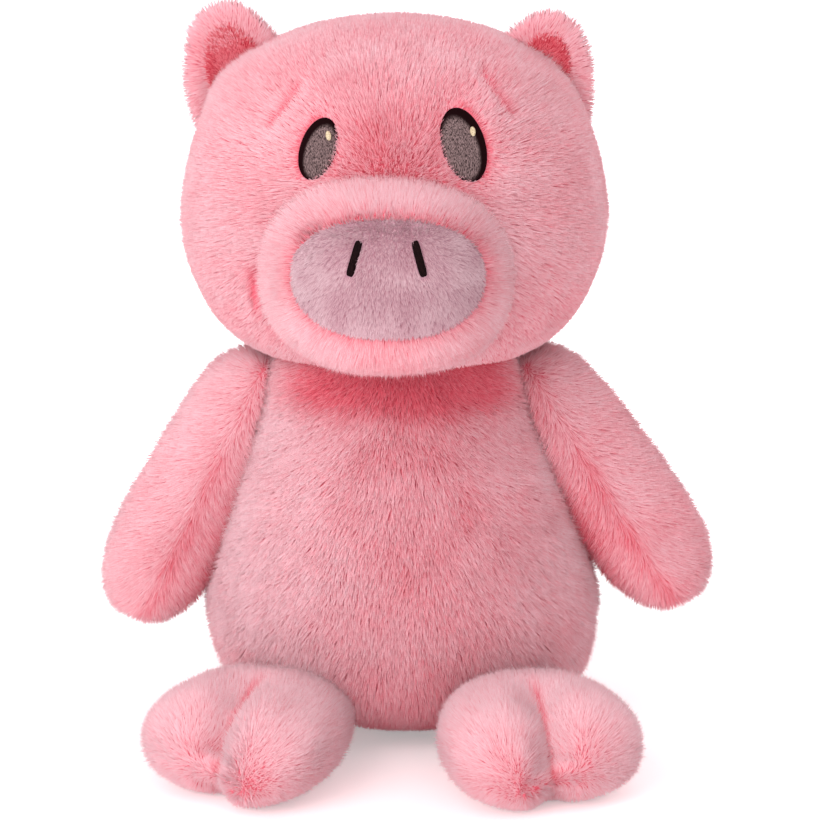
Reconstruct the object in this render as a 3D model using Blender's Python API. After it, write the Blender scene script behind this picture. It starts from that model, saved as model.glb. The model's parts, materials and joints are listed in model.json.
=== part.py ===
"""A seated plush pig: stuffed head, muzzle, body, arms and legs, each a sewn cover with its own filling.

The pig sits on the floor at z = 0 and faces -Y. Its left and right are the viewer's. All sizes are in metres.
Every stuffed form is the size of its cloth, without the pile that stands on it.
"""

import math

import bmesh
import bpy
from mathutils import Matrix, Vector

# Cloth, thread and clearances
COVER_WALL = 0.0015
GAP = 0.0003
FLOOR_CUT = 0.0005
CUT_OVERRUN = 0.002
STITCH_DIAMETER = 0.0012
BEVEL_STEPS = 2
SHARP_ANGLE_DEG = 50.0

# Body, from the floor to the neck seam
BODY_HEIGHT = 0.153
BODY_WIDTH = 0.149
BODY_DEPTH = 0.112
BODY_LEAN = 0.0045
BODY_ROUNDNESS = 2.2
BODY_SEGMENTS = 24
# Height, width and depth shares of the body's sections, from the floor up past the neck,
# and how far back each lies
BODY_SHARES = (
    (0.000, 0.420, 0.43, 0.145),
    (0.030, 0.600, 0.64, 0.105),
    (0.070, 0.760, 0.79, 0.050),
    (0.125, 0.880, 0.89, 0.020),
    (0.215, 0.965, 0.96, 0.005),
    (0.330, 1.000, 1.00, 0.000),
    (0.450, 0.960, 0.97, 0.000),
    (0.600, 0.880, 0.91, 0.000),
    (0.740, 0.785, 0.83, 0.000),
    (0.860, 0.710, 0.75, 0.000),
    (0.940, 0.665, 0.70, 0.000),
    (1.000, 0.635, 0.66, 0.000),
    (1.050, 0.560, 0.58, 0.000),
)

# Bag of pellets in the seat
PELLET_BAG_WIDTH = 0.086
PELLET_BAG_DEPTH = 0.062
PELLET_BAG_HEIGHT = 0.022
PELLET_BAG_BACK = 0.009
PELLET_BAG_ROUNDNESS = 2.4
PELLET_BAG_SEGMENTS = 20
PELLET_BAG_RINGS = 8

# Head, measured from its widest height; the neck seam cuts off the bottom of its drop
HEAD_WIDTH = 0.158
HEAD_DEPTH = 0.124
HEAD_RISE = 0.0760
HEAD_DROP = 0.060
NECK_CUT = 0.008
HEAD_ABOVE_NECK = HEAD_DROP - NECK_CUT
HEAD_ROUNDNESS = 2.5
HEAD_TURN_DEG = -1.5
HEAD_SEGMENTS = 24
HEAD_RINGS = 14

# Muzzle, a dome on the lower face
MUZZLE_WIDTH = 0.084
MUZZLE_HEIGHT = 0.066
MUZZLE_REACH = 0.040
MUZZLE_SINK = 0.010
CHIN_ABOVE_NECK = 0.0065
MUZZLE_ABOVE_NECK = CHIN_ABOVE_NECK + MUZZLE_HEIGHT / 2
MUZZLE_ROUNDNESS = 2.4
MUZZLE_SEGMENTS = 18
MUZZLE_RINGS = 9

# Snout patch, by the margins that it leaves on the muzzle, and nostrils
SNOUT_SIDE_MARGIN = 0.00675
SNOUT_TOP_MARGIN = 0.008
SNOUT_BOTTOM_MARGIN = 0.016
SNOUT_WIDTH = MUZZLE_WIDTH - 2 * SNOUT_SIDE_MARGIN
SNOUT_HEIGHT = MUZZLE_HEIGHT - SNOUT_TOP_MARGIN - SNOUT_BOTTOM_MARGIN
SNOUT_ABOVE_MUZZLE = (SNOUT_BOTTOM_MARGIN - SNOUT_TOP_MARGIN) / 2
SNOUT_THICKNESS = 0.0022
SNOUT_EDGE_SHARE = 0.5
SNOUT_ROUNDNESS = 2.3
SNOUT_SEGMENTS = 28
SNOUT_RINGS = 6
NOSTRIL_LENGTH = 0.0130
NOSTRIL_WIDTH = 0.0022
NOSTRIL_THICKNESS = 0.0008
NOSTRIL_SPREAD = 0.0238
NOSTRIL_RISE = 0.0085
NOSTRIL_TILT_DEG = 16.0

# Eyes, with the highlight stitch on each
EYE_WIDTH = {"left": 0.0134, "right": 0.0160}
EYE_HEIGHT = {"left": 0.0234, "right": 0.0278}
EYE_THICKNESS = 0.0012
EYE_EDGE_SHARE = 0.6
EYE_OUT = {"left": 0.0268, "right": 0.0275}
EYE_ABOVE_MUZZLE = {"left": 0.0145, "right": 0.0160}
EYE_TILT_DEG = 19.0
EYE_SEGMENTS = 20
EYE_RINGS = 4
GLINT_WIDTH = 0.0020
GLINT_HEIGHT = 0.0032
GLINT_THICKNESS = 0.0005
GLINT_RIGHT = {"left": 0.0040, "right": 0.0034}
GLINT_UP = 0.0052
GLINT_SEGMENTS = 10

# Brow stitches, which hold a short tuck above each eye
BROW_LENGTH = 0.017
BROW_SPREAD = 0.077
BROW_ABOVE_EYE = {"left": 0.0140, "right": 0.0170}
BROW_TILT_DEG = 36.0

# Embroidered bars: nostrils and brow stitches
BAR_ROUNDNESS = 3.0
BAR_SEGMENTS = 14
BAR_RINGS = 2

# Ears
EAR_WIDTH = 0.037
EAR_LENGTH = 0.052
EAR_ROUNDNESS = 2.4
EAR_THICKNESS = 0.009
EAR_EDGE_SHARE = 0.3
EAR_HOLLOW = 0.0045
EAR_TAPER_SHARE = 0.26
EAR_OUT_SHARE = {"left": 0.772, "right": 0.709}
EAR_RISE_SHARE = {"left": 0.724, "right": 0.678}
EAR_BACK = 0.004
EAR_TILT_DEG = {"left": 18.0, "right": 14.0}
EAR_SEGMENTS = 22
EAR_RINGS = 6
LINING_THICKNESS = 0.0012
LINING_SHARE = 0.58
LINING_RISE = 0.0045
LINING_RINGS = 4

# Arms, measured along the arm from the top of its shoulder
ARM_LENGTH = 0.1175
ARM_WIDTH = 0.039
ARM_THICKNESS = 0.032
ARM_BOW = 0.0085
ARM_SHOULDER_DROP = 0.0200
ARM_OUTSET = {"left": 0.0010, "right": 0.0025}
ARM_FORWARD = 0.004
ARM_SPLAY_DEG = {"left": 25.5, "right": 31.5}
SHOULDER_BELOW_NECK = 0.0225
SHOULDER_HEIGHT = BODY_HEIGHT - SHOULDER_BELOW_NECK
SHOULDER_REACH_DOWN = 0.020
SHOULDER_REACH_UP = 0.010
ARM_ROUNDNESS = 2.0
ARM_SEGMENTS = 14
# Length, width and thickness shares of the arm's sections
ARM_SHARES = (
    (0.012, 0.34, 0.34),
    (0.040, 0.62, 0.60),
    (0.100, 0.86, 0.82),
    (0.200, 0.98, 0.94),
    (0.360, 1.00, 1.00),
    (0.540, 1.00, 1.00),
    (0.700, 1.00, 1.00),
    (0.820, 0.92, 0.92),
    (0.910, 0.74, 0.74),
    (0.965, 0.50, 0.50),
    (0.992, 0.25, 0.24),
)

# Legs, measured along the leg from the hip seam to the toes
LEG_LENGTH = 0.075
FOOT_WIDTH = 0.069
FOOT_HEIGHT = 0.0385
HIP_OUT = {"left": 0.0430, "right": 0.0420}
LEG_SPLAY_DEG = {"left": 21.0, "right": 9.0}
LEG_SEGMENTS = 20
LEG_ROUNDNESS = 2.3
TOE_CLEFT_SHARE = 0.42
TOE_CLEFT_WIDTH = 0.016
TOE_CLEFT_START_SHARE = 0.35
TOE_CLEFT_FULL_SHARE = 0.75
TOE_NOTCH = 0.0070
TOE_NOTCH_START_SHARE = 0.60
TOE_STITCH_SECTIONS = 5
SEAM_SAMPLES = 12
# Length, width and thickness shares of the leg's sections
LEG_SHARES = (
    (0.000, 0.58, 0.05),
    (0.090, 0.68, 0.43),
    (0.210, 0.78, 0.74),
    (0.360, 0.89, 0.94),
    (0.530, 0.97, 1.00),
    (0.690, 1.00, 0.98),
    (0.810, 0.96, 0.89),
    (0.900, 0.84, 0.72),
    (0.960, 0.64, 0.50),
    (0.992, 0.38, 0.26),
)

# Tail, one open curl
TAIL_DIAMETER = 0.008
TAIL_CURL_DIAMETER = 0.018
TAIL_REACH = 0.022
TAIL_TURNS = 1.1
TAIL_POINTS = 16
TAIL_HEIGHT = 0.040
TAIL_TIP_SHARE = 0.55
TAIL_STRAIGHT_SHARE = 0.10
TAIL_OPEN_SHARE = 0.50

SIDES = {"left": -1.0, "right": 1.0}

# Each finish: linear red, green and blue, then roughness
FINISHES = {
    "plush": (0.93, 0.38, 0.44, 0.95),
    "ear_lining": (0.78, 0.12, 0.17, 0.95),
    "short_pile": (0.53, 0.30, 0.37, 0.95),
    "charcoal_thread": (0.055, 0.042, 0.045, 0.60),
    "black_thread": (0.020, 0.012, 0.014, 0.60),
    "cream_thread": (0.86, 0.78, 0.66, 0.50),
    "pink_thread": (0.80, 0.22, 0.28, 0.70),
    "fibre": (0.86, 0.86, 0.84, 0.95),
    "linen": (0.70, 0.66, 0.58, 0.90),
}


def clear_scene():
    for old in list(bpy.data.objects):
        bpy.data.objects.remove(old)


def material(name):
    """The material of this finish, made at its first use."""
    found = bpy.data.materials.get(name)
    if found:
        return found
    made = bpy.data.materials.new(name)
    made.use_nodes = True
    shader = made.node_tree.nodes["Principled BSDF"]
    shader.inputs["Base Color"].default_value = (*FINISHES[name][:3], 1.0)
    shader.inputs["Roughness"].default_value = FINISHES[name][3]
    shader.inputs["Metallic"].default_value = 0.0
    return made


def place_in_scene(name, data, finish, parent):
    made = bpy.data.objects.new(name, data)
    made.data.materials.append(material(finish))
    made.parent = parent
    bpy.context.scene.collection.objects.link(made)
    return made


def split_quads(bm):
    """Splits four-sided faces the same way at every inset, so that nested forms keep an even gap."""
    quads = [face for face in bm.faces if len(face.verts) == 4]
    bmesh.ops.triangulate(bm, faces=quads, quad_method="FIXED")
    return bm


def object_from(bm, name, finish, parent=None):
    """A smooth-shaded object from a closed bmesh, with its faces turned out."""
    bmesh.ops.recalc_face_normals(bm, faces=bm.faces)
    mesh = bpy.data.meshes.new(name)
    bm.to_mesh(mesh)
    bm.free()
    mesh.shade_smooth()
    mesh.set_sharp_from_angle(angle=math.radians(SHARP_ANGLE_DEG))
    return place_in_scene(name, mesh, finish, parent)


def tube(name, points, radii, finish, parent=None):
    """A closed tube through the points, each with its own radius."""
    curve = bpy.data.curves.new(name, "CURVE")
    curve.dimensions = "3D"
    curve.bevel_depth = radii[0]
    curve.bevel_resolution = BEVEL_STEPS
    curve.use_fill_caps = True
    spline = curve.splines.new("POLY")
    spline.points.add(len(points) - 1)
    for target, point, radius in zip(spline.points, points, radii):
        target.co = (*point, 1.0)
        target.radius = radius / radii[0]
    return place_in_scene(name, curve, finish, parent)


def cut(obj, cutter):
    """Takes the cutter's volume away from the object, and hides the cutter."""
    cutter.hide_render = True
    cutter.display_type = "WIRE"
    difference = obj.modifiers.new("cut_by_" + cutter.name, "BOOLEAN")
    difference.operation = "DIFFERENCE"
    difference.solver = "EXACT"
    difference.object = cutter


def pivot(name, place, matrix, parent=None):
    """An empty on a joint's axis or at a piece's root, which the pieces there hang from."""
    made = bpy.data.objects.new(name, None)
    made.matrix_local = Matrix.Translation(place) @ matrix
    made.parent = parent
    bpy.context.scene.collection.objects.link(made)
    return made


def unit_outline(turn, roundness):
    """A point of the unit superellipse: a circle at a roundness of 2, and squarer above."""
    x, y = math.cos(turn), math.sin(turn)
    reach = (abs(x) ** roundness + abs(y) ** roundness) ** (-1.0 / roundness)
    return x * reach, y * reach


def loft(sections, segments, roundness):
    """A closed bmesh through flat sections (centre, half width in x, half depth in y), capped at its ends."""
    bm = bmesh.new()
    rings = []
    for centre, half_x, half_y in sections:
        ring = []
        for i in range(segments):
            x, y = unit_outline(2.0 * math.pi * i / segments, roundness)
            ring.append(bm.verts.new(centre + Vector((half_x * x, half_y * y, 0.0))))
        rings.append(ring)
    for low, high in zip(rings, rings[1:]):
        for i in range(segments):
            after = (i + 1) % segments
            bm.faces.new((low[i], low[after], high[after], high[i]))
    bm.faces.new(rings[0])
    bm.faces.new(rings[-1])
    return split_quads(bm)


def swollen(segments, rings, to_point, facing=None):
    """A closed bmesh from a sphere's directions, each moved to where to_point puts it."""
    bm = bmesh.new()
    bmesh.ops.create_uvsphere(bm, u_segments=segments, v_segments=rings, radius=1.0)
    for vert in bm.verts:
        direction = facing @ vert.co if facing else vert.co
        vert.co = to_point(direction.normalized())
    return split_quads(bm)


def along(direction, semi_axes, roundness):
    """The point of a superellipsoid about the origin, in the given direction."""
    total = sum(abs(part / semi) ** roundness for part, semi in zip(direction, semi_axes))
    return direction * total ** (-1.0 / roundness)


def cut_flat(bm, point, normal):
    """Removes what lies beyond a plane, on the side that its normal points to, and closes the hole."""
    everything = bm.verts[:] + bm.edges[:] + bm.faces[:]
    bmesh.ops.bisect_plane(bm, geom=everything, plane_co=point, plane_no=normal, clear_outer=True)
    rim = [edge for edge in bm.edges if edge.is_boundary]
    if rim:
        bmesh.ops.contextual_create(bm, geom=rim)


def thinned(share, edge_share):
    """The share of a pad's thickness at a share of the way to its edge, where edge_share is left."""
    return 1.0 - (1.0 - edge_share) * share**4


def pad(name, outline, front, back, finish, parent, rings, segments):
    """A thin closed piece between two surfaces.

    outline(share, turn) gives x and z. front and back give y from x, z and the share of the way to the edge.
    """
    bm = bmesh.new()
    rims = []
    for surface in (front, back):
        x, z = outline(0.0, 0.0)
        centre = bm.verts.new((x, surface(x, z, 0.0), z))
        loops = []
        for r in range(1, rings + 1):
            share = r / rings
            loop = []
            for i in range(segments):
                x, z = outline(share, 2.0 * math.pi * i / segments)
                loop.append(bm.verts.new((x, surface(x, z, share), z)))
            loops.append(loop)
        rims.append(loops[-1])
        for i in range(segments):
            bm.faces.new((centre, loops[0][i], loops[0][(i + 1) % segments]))
        for near, far in zip(loops, loops[1:]):
            for i in range(segments):
                after = (i + 1) % segments
                bm.faces.new((near[i], far[i], far[after], near[after]))
    for i in range(segments):
        after = (i + 1) % segments
        bm.faces.new((rims[0][i], rims[1][i], rims[1][after], rims[0][after]))
    return object_from(split_quads(bm), name, finish, parent)


def oval(centre_x, centre_z, width, height, tilt_deg=0.0, roundness=2.0):
    """An outline for pad: a superellipse, tilted so that its top leans towards +X by tilt_deg."""
    cosine, sine = math.cos(math.radians(tilt_deg)), math.sin(math.radians(tilt_deg))

    def outline(share, turn):
        x, z = unit_outline(turn, roundness)
        across, up = width / 2 * share * x, height / 2 * share * z
        return centre_x + across * cosine + up * sine, centre_z - across * sine + up * cosine

    return outline


def sheet_on(surface_y, proud, thickness=0.0, edge_share=1.0):
    """A surface for pad that follows a stuffed form at a height above it, plus a thickness."""

    def surface(x, z, share):
        return surface_y(x, z, proud + thickness * thinned(share, edge_share))

    return surface


# Body


def body_sections(inset):
    """The body's sections, drawn in by inset on every side but the top, which runs on past the neck."""
    sections = []
    for height_share, width_share, depth_share, back_share in BODY_SHARES:
        height = inset + height_share * (BODY_HEIGHT - inset)
        centre = Vector((-BODY_LEAN * height_share, BODY_DEPTH * back_share, height))
        half_x = BODY_WIDTH / 2 * width_share - inset
        half_y = BODY_DEPTH / 2 * depth_share - inset
        sections.append((centre, half_x, half_y))
    return sections


def body_section_at(height):
    """Centre, half width and half depth of the body at a height, between its sections."""
    sections = body_sections(0.0)
    for low, high in zip(sections, sections[1:]):
        if height <= high[0].z:
            part = (height - low[0].z) / (high[0].z - low[0].z)
            half_x = low[1] + part * (high[1] - low[1])
            half_y = low[2] + part * (high[2] - low[2])
            return low[0].lerp(high[0], part), half_x, half_y
    raise ValueError("the height is above the body")


def body_face(x, height, facing):
    """The y of the body's facets at x and a height: the front ones where facing is -1, the back ones at 1."""
    centre, half_x, half_y = body_section_at(height)
    across = (x - centre.x) / half_x
    turns = [2.0 * math.pi * i / BODY_SEGMENTS for i in range(BODY_SEGMENTS // 2 + 1)]
    corners = [unit_outline(turn, BODY_ROUNDNESS) for turn in turns]
    for (outer_x, outer_y), (inner_x, inner_y) in zip(corners, corners[1:]):
        if across >= inner_x:
            part = (across - inner_x) / (outer_x - inner_x)
            return centre.y + facing * half_y * (inner_y + part * (outer_y - inner_y))
    raise ValueError("x is beyond the body's side")


def body_form(inset, top):
    """The body's form, with its ends as fans round a middle point, cut at top unless that is zero."""
    bm = loft(body_sections(inset), BODY_SEGMENTS, BODY_ROUNDNESS)
    ends = [face for face in bm.faces if len(face.verts) == BODY_SEGMENTS]
    bmesh.ops.poke(bm, faces=ends)
    if top:
        cut_flat(bm, Vector((0.0, 0.0, top)), Vector((0.0, 0.0, 1.0)))
    return bm


def pellet_bag_form(grow):
    half_sizes = (PELLET_BAG_WIDTH / 2 + grow, PELLET_BAG_DEPTH / 2 + grow, PELLET_BAG_HEIGHT / 2 + grow)
    middle = Vector((0.0, PELLET_BAG_BACK, COVER_WALL + GAP + PELLET_BAG_HEIGHT / 2))

    def to_point(direction):
        return middle + along(direction, half_sizes, PELLET_BAG_ROUNDNESS)

    return swollen(PELLET_BAG_SEGMENTS, PELLET_BAG_RINGS, to_point)


def make_body():
    cover = object_from(body_form(0.0, BODY_HEIGHT), "body_cover", "plush")
    cut(cover, object_from(body_form(COVER_WALL, 0.0), "body_hollow_cutter", "plush"))
    filling = object_from(body_form(COVER_WALL + GAP, BODY_HEIGHT), "body_stuffing", "fibre")
    cut(filling, object_from(pellet_bag_form(GAP), "pellet_bag_cutter", "fibre"))
    object_from(pellet_bag_form(0.0), "seat_pellet_bag", "linen")


# Head


def head_semi_axes(upper, inset):
    rise = HEAD_RISE if upper else HEAD_DROP
    return (HEAD_WIDTH / 2 - inset, HEAD_DEPTH / 2 - inset, rise - inset)


def head_form(inset, neck_height):
    """The head about its widest height, cut at neck_height above the neck seam unless that is zero."""
    middle = Vector((0.0, 0.0, HEAD_ABOVE_NECK))

    def to_point(direction):
        return middle + along(direction, head_semi_axes(direction.z > 0.0, inset), HEAD_ROUNDNESS)

    bm = swollen(HEAD_SEGMENTS, HEAD_RINGS, to_point)
    if neck_height:
        cut_flat(bm, Vector((0.0, 0.0, neck_height)), Vector((0.0, 0.0, -1.0)))
    return bm


def head_front(x, z, proud):
    """The y of the face at x and a height z above the neck, moved out by proud."""
    up = z - HEAD_ABOVE_NECK
    half_x, half_y, half_z = head_semi_axes(up > 0.0, -proud)
    rest = 1.0 - abs(x / half_x) ** HEAD_ROUNDNESS - abs(up / half_z) ** HEAD_ROUNDNESS
    return -half_y * rest ** (1.0 / HEAD_ROUNDNESS)


def make_head(neck):
    cover = object_from(head_form(0.0, GAP), "head_cover", "plush", neck)
    cut(cover, object_from(head_form(COVER_WALL, 0.0), "head_hollow_cutter", "plush", neck))
    object_from(head_form(COVER_WALL + GAP, GAP), "head_stuffing", "fibre", neck)


# Muzzle


def muzzle_middle():
    return Vector((0.0, MUZZLE_SINK - HEAD_DEPTH / 2, MUZZLE_ABOVE_NECK))


def muzzle_semi_axes(inset):
    return (MUZZLE_WIDTH / 2 - inset, MUZZLE_REACH - inset, MUZZLE_HEIGHT / 2 - inset)


def muzzle_form(inset):
    facing_front = Matrix.Rotation(math.radians(90.0), 3, "X")
    middle = muzzle_middle()

    def to_point(direction):
        return middle + along(direction, muzzle_semi_axes(inset), MUZZLE_ROUNDNESS)

    return swollen(MUZZLE_SEGMENTS, MUZZLE_RINGS, to_point, facing_front)


def muzzle_front(x, z, proud):
    """The y of the muzzle's front at x and a height z above the neck, moved out by proud."""
    half_x, half_y, half_z = muzzle_semi_axes(-proud)
    middle = muzzle_middle()
    rest = 1.0 - abs(x / half_x) ** MUZZLE_ROUNDNESS - abs((z - middle.z) / half_z) ** MUZZLE_ROUNDNESS
    return middle.y - half_y * rest ** (1.0 / MUZZLE_ROUNDNESS)


def make_muzzle(neck, head_cutter):
    cover = object_from(muzzle_form(0.0), "muzzle_cover", "plush", neck)
    cut(cover, object_from(muzzle_form(COVER_WALL), "muzzle_hollow_cutter", "plush", neck))
    cut(cover, head_cutter)
    filling = object_from(muzzle_form(COVER_WALL + GAP), "muzzle_stuffing", "fibre", neck)
    cut(filling, head_cutter)


def make_snout(neck):
    height = muzzle_middle().z + SNOUT_ABOVE_MUZZLE
    outline = oval(0.0, height, SNOUT_WIDTH, SNOUT_HEIGHT, roundness=SNOUT_ROUNDNESS)
    under = sheet_on(muzzle_front, GAP)
    over = sheet_on(muzzle_front, GAP, SNOUT_THICKNESS, SNOUT_EDGE_SHARE)
    pad("snout_patch", outline, over, under, "short_pile", neck, SNOUT_RINGS, SNOUT_SEGMENTS)
    on_patch = 2 * GAP + SNOUT_THICKNESS
    for side, sign in SIDES.items():
        outline = oval(
            sign * NOSTRIL_SPREAD / 2,
            height + NOSTRIL_RISE,
            NOSTRIL_WIDTH,
            NOSTRIL_LENGTH,
            -sign * NOSTRIL_TILT_DEG,
            BAR_ROUNDNESS,
        )
        under = sheet_on(muzzle_front, on_patch)
        over = sheet_on(muzzle_front, on_patch, NOSTRIL_THICKNESS)
        pad("nostril_" + side, outline, over, under, "black_thread", neck, BAR_RINGS, BAR_SEGMENTS)


def eye_height(side):
    """How high the middle of an eye is above the neck seam."""
    return MUZZLE_ABOVE_NECK + MUZZLE_HEIGHT / 2 + EYE_ABOVE_MUZZLE[side]


def make_eyes(neck):
    for side, sign in SIDES.items():
        x = sign * EYE_OUT[side]
        height = eye_height(side)
        outline = oval(x, height, EYE_WIDTH[side], EYE_HEIGHT[side], -sign * EYE_TILT_DEG)
        under = sheet_on(head_front, GAP)
        over = sheet_on(head_front, GAP, EYE_THICKNESS, EYE_EDGE_SHARE)
        pad("eye_" + side, outline, over, under, "charcoal_thread", neck, EYE_RINGS, EYE_SEGMENTS)
        on_eye = 2 * GAP + EYE_THICKNESS
        outline = oval(x + GLINT_RIGHT[side], height + GLINT_UP, GLINT_WIDTH, GLINT_HEIGHT)
        under = sheet_on(head_front, on_eye)
        over = sheet_on(head_front, on_eye, GLINT_THICKNESS)
        pad("eye_highlight_" + side, outline, over, under, "cream_thread", neck, BAR_RINGS, GLINT_SEGMENTS)


def make_brows(neck):
    for side, sign in SIDES.items():
        outline = oval(
            sign * BROW_SPREAD / 2,
            eye_height(side) + BROW_ABOVE_EYE[side],
            STITCH_DIAMETER,
            BROW_LENGTH,
            -sign * BROW_TILT_DEG,
            BAR_ROUNDNESS,
        )
        under = sheet_on(head_front, GAP)
        over = sheet_on(head_front, GAP, STITCH_DIAMETER)
        pad("brow_stitch_" + side, outline, over, under, "pink_thread", neck, BAR_RINGS, BAR_SEGMENTS)


def ear_outline(size_share, rise):
    """An ear's outline for pad, narrower at the tip than at the root, and moved towards the tip by rise."""

    def outline(share, turn):
        x, z = unit_outline(turn, EAR_ROUNDNESS)
        narrowing = 1.0 - EAR_TAPER_SHARE * z * share
        across = EAR_WIDTH / 2 * size_share * share * x * narrowing
        return across, rise + EAR_LENGTH / 2 * size_share * share * z

    return outline


def ear_share(x, z):
    """How far out on an ear's flap a point is, from 0 at its middle to 1 at its rim."""
    up = z / (EAR_LENGTH / 2)
    across = x / (EAR_WIDTH / 2 * (1.0 - EAR_TAPER_SHARE * up))
    return (abs(across) ** EAR_ROUNDNESS + abs(up) ** EAR_ROUNDNESS) ** (1.0 / EAR_ROUNDNESS)


def make_ears(neck, head_cutter):
    """Each ear is a thick flap, hollowed in front, with a lining in the hollow; the head cuts its root."""

    def hollow(share):
        return EAR_HOLLOW * (1.0 - share**2)

    def ear_front(x, z, share):
        return hollow(share) - EAR_THICKNESS / 2 * thinned(share, 0.0)

    def ear_back(x, z, share):
        return hollow(share) + EAR_THICKNESS / 2 * thinned(share, EAR_EDGE_SHARE)

    def lining_back(x, z, share):
        return ear_front(x, z, ear_share(x, z)) - GAP

    def lining_front(x, z, share):
        return lining_back(x, z, share) - LINING_THICKNESS

    for side, sign in SIDES.items():
        out = HEAD_WIDTH / 2 * EAR_OUT_SHARE[side]
        place = Vector((sign * out, EAR_BACK, HEAD_ABOVE_NECK + HEAD_RISE * EAR_RISE_SHARE[side]))
        tilt = Matrix.Rotation(math.radians(sign * EAR_TILT_DEG[side]), 4, "Y")
        root = pivot("ear_root_" + side, place, tilt, neck)
        name = "ear_" + side
        outline = ear_outline(1.0, 0.0)
        ear = pad(name, outline, ear_front, ear_back, "plush", root, EAR_RINGS, EAR_SEGMENTS)
        name = "ear_lining_" + side
        outline = ear_outline(LINING_SHARE, LINING_RISE)
        lining = pad(name, outline, lining_front, lining_back, "ear_lining", root, LINING_RINGS, EAR_SEGMENTS)
        cut(ear, head_cutter)
        cut(lining, head_cutter)


# Arms


def arm_sections(side, inset):
    sections = []
    length = ARM_LENGTH - 2 * inset
    for length_share, width_share, thickness_share in ARM_SHARES:
        bow = ARM_BOW * math.sin(math.pi / 2 * length_share)
        centre = Vector((ARM_OUTSET[side] + bow, 0.0, ARM_SHOULDER_DROP - inset - length * length_share))
        half_x = max(ARM_WIDTH / 2 * width_share - inset, GAP)
        half_y = max(ARM_THICKNESS / 2 * thickness_share - inset, GAP)
        sections.append((centre, half_x, half_y))
    return sections


def shoulder_frame(sign):
    """Place of a shoulder's pivot, with all of the body behind it, and the outward direction there."""

    def side_at(height):
        centre, half_x, _ = body_section_at(height)
        return Vector((centre.x + sign * half_x, 0.0, height))

    low = side_at(SHOULDER_HEIGHT - SHOULDER_REACH_DOWN)
    high = side_at(SHOULDER_HEIGHT + SHOULDER_REACH_UP)
    up = (high - low).normalized()
    outward = Vector((sign * up.z, 0.0, -sign * up.x))
    place = side_at(SHOULDER_HEIGHT)
    farthest = 0.0
    for centre, half_x, _ in body_sections(0.0):
        side = Vector((centre.x + sign * half_x, 0.0, centre.z))
        farthest = max(farthest, (side - place).dot(outward))
    return place + outward * (farthest + GAP) - Vector((0.0, ARM_FORWARD, 0.0)), outward


def make_arms():
    for side, sign in SIDES.items():
        place, outward = shoulder_frame(sign)
        splay = Matrix.Rotation(math.radians(-sign * ARM_SPLAY_DEG[side]), 4, "Y")
        shoulder = pivot("shoulder_" + side, place, splay)
        seam_normal = splay.to_3x3().inverted() @ -outward
        mirror = Matrix.Diagonal((sign, 1.0, 1.0, 1.0))

        def arm_form(inset):
            bm = loft(arm_sections(side, inset), ARM_SEGMENTS, ARM_ROUNDNESS)
            bmesh.ops.transform(bm, matrix=mirror, verts=bm.verts)
            return bm

        outer = arm_form(0.0)
        cut_flat(outer, Vector(), seam_normal)
        cover = object_from(outer, "arm_cover_" + side, "plush", shoulder)
        cut(cover, object_from(arm_form(COVER_WALL), "arm_hollow_cutter_" + side, "plush", shoulder))
        filling = arm_form(COVER_WALL + GAP)
        cut_flat(filling, seam_normal * -GAP, seam_normal)
        object_from(filling, "arm_stuffing_" + side, "fibre", shoulder)


# Legs


def ramp(share, start_share, end_share):
    """Rises smoothly from 0 to 1 between two shares."""
    part = min(max((share - start_share) / (end_share - start_share), 0.0), 1.0)
    return part * part * (3.0 - 2.0 * part)


def cleft(x, length_share):
    """The share of its height that the top keeps, and how far the tip draws back, x off the middle line."""
    near_middle = math.exp(-((2.0 * x / TOE_CLEFT_WIDTH) ** 2))
    deepening = ramp(length_share, TOE_CLEFT_START_SHARE, TOE_CLEFT_FULL_SHARE)
    draw = TOE_NOTCH * near_middle * ramp(length_share, TOE_NOTCH_START_SHARE, 1.0)
    return 1.0 - TOE_CLEFT_SHARE * near_middle * deepening, draw


def hip_height():
    return FOOT_HEIGHT / 2 - FLOOR_CUT


def leg_form(inset, overrun):
    """A leg lying along +Z with its top at +Y, cleft at the toes and flat where it rests.

    An overrun carries its root section straight back past the hip seam.
    """
    sections = []
    length = LEG_LENGTH - 2 * inset
    for length_share, width_share, thickness_share in LEG_SHARES:
        centre = Vector((0.0, 0.0, inset + length * length_share))
        half_x = max(FOOT_WIDTH / 2 * width_share - inset, GAP)
        half_y = max(FOOT_HEIGHT / 2 * thickness_share - inset, GAP)
        sections.append((centre, half_x, half_y))
    if overrun:
        root, half_x, half_y = sections[0]
        sections.insert(0, (root - Vector((0.0, 0.0, inset + overrun)), half_x, half_y))
    bm = loft(sections, LEG_SEGMENTS, LEG_ROUNDNESS)
    for vert in bm.verts:
        kept, draw = cleft(vert.co.x, (vert.co.z - inset) / length)
        if vert.co.y > 0.0:
            vert.co.y *= kept
        vert.co.z -= draw
    floor = Vector((0.0, inset - hip_height(), 0.0))
    cut_flat(bm, floor, Vector((0.0, -1.0, 0.0)))
    return bm


def make_toe_stitch(side, hip):
    """A thread along the bottom of the cleft, from the instep to the tip."""
    bottom = []
    for length_share, _, thickness_share in LEG_SHARES[-1 - TOE_STITCH_SECTIONS : -1]:
        kept, draw = cleft(0.0, length_share)
        height = FOOT_HEIGHT / 2 * thickness_share * kept
        bottom.append(Vector((0.0, height, LEG_LENGTH * length_share - draw)))
    points = []
    for i, point in enumerate(bottom):
        run = (bottom[min(i + 1, len(bottom) - 1)] - bottom[max(i - 1, 0)]).normalized()
        outward = Vector((0.0, run.z, -run.y))
        points.append(point + outward * (STITCH_DIAMETER / 2 + 2 * GAP))
    tube("toe_stitch_" + side, points, [STITCH_DIAMETER / 2] * len(points), "pink_thread", hip)


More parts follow.
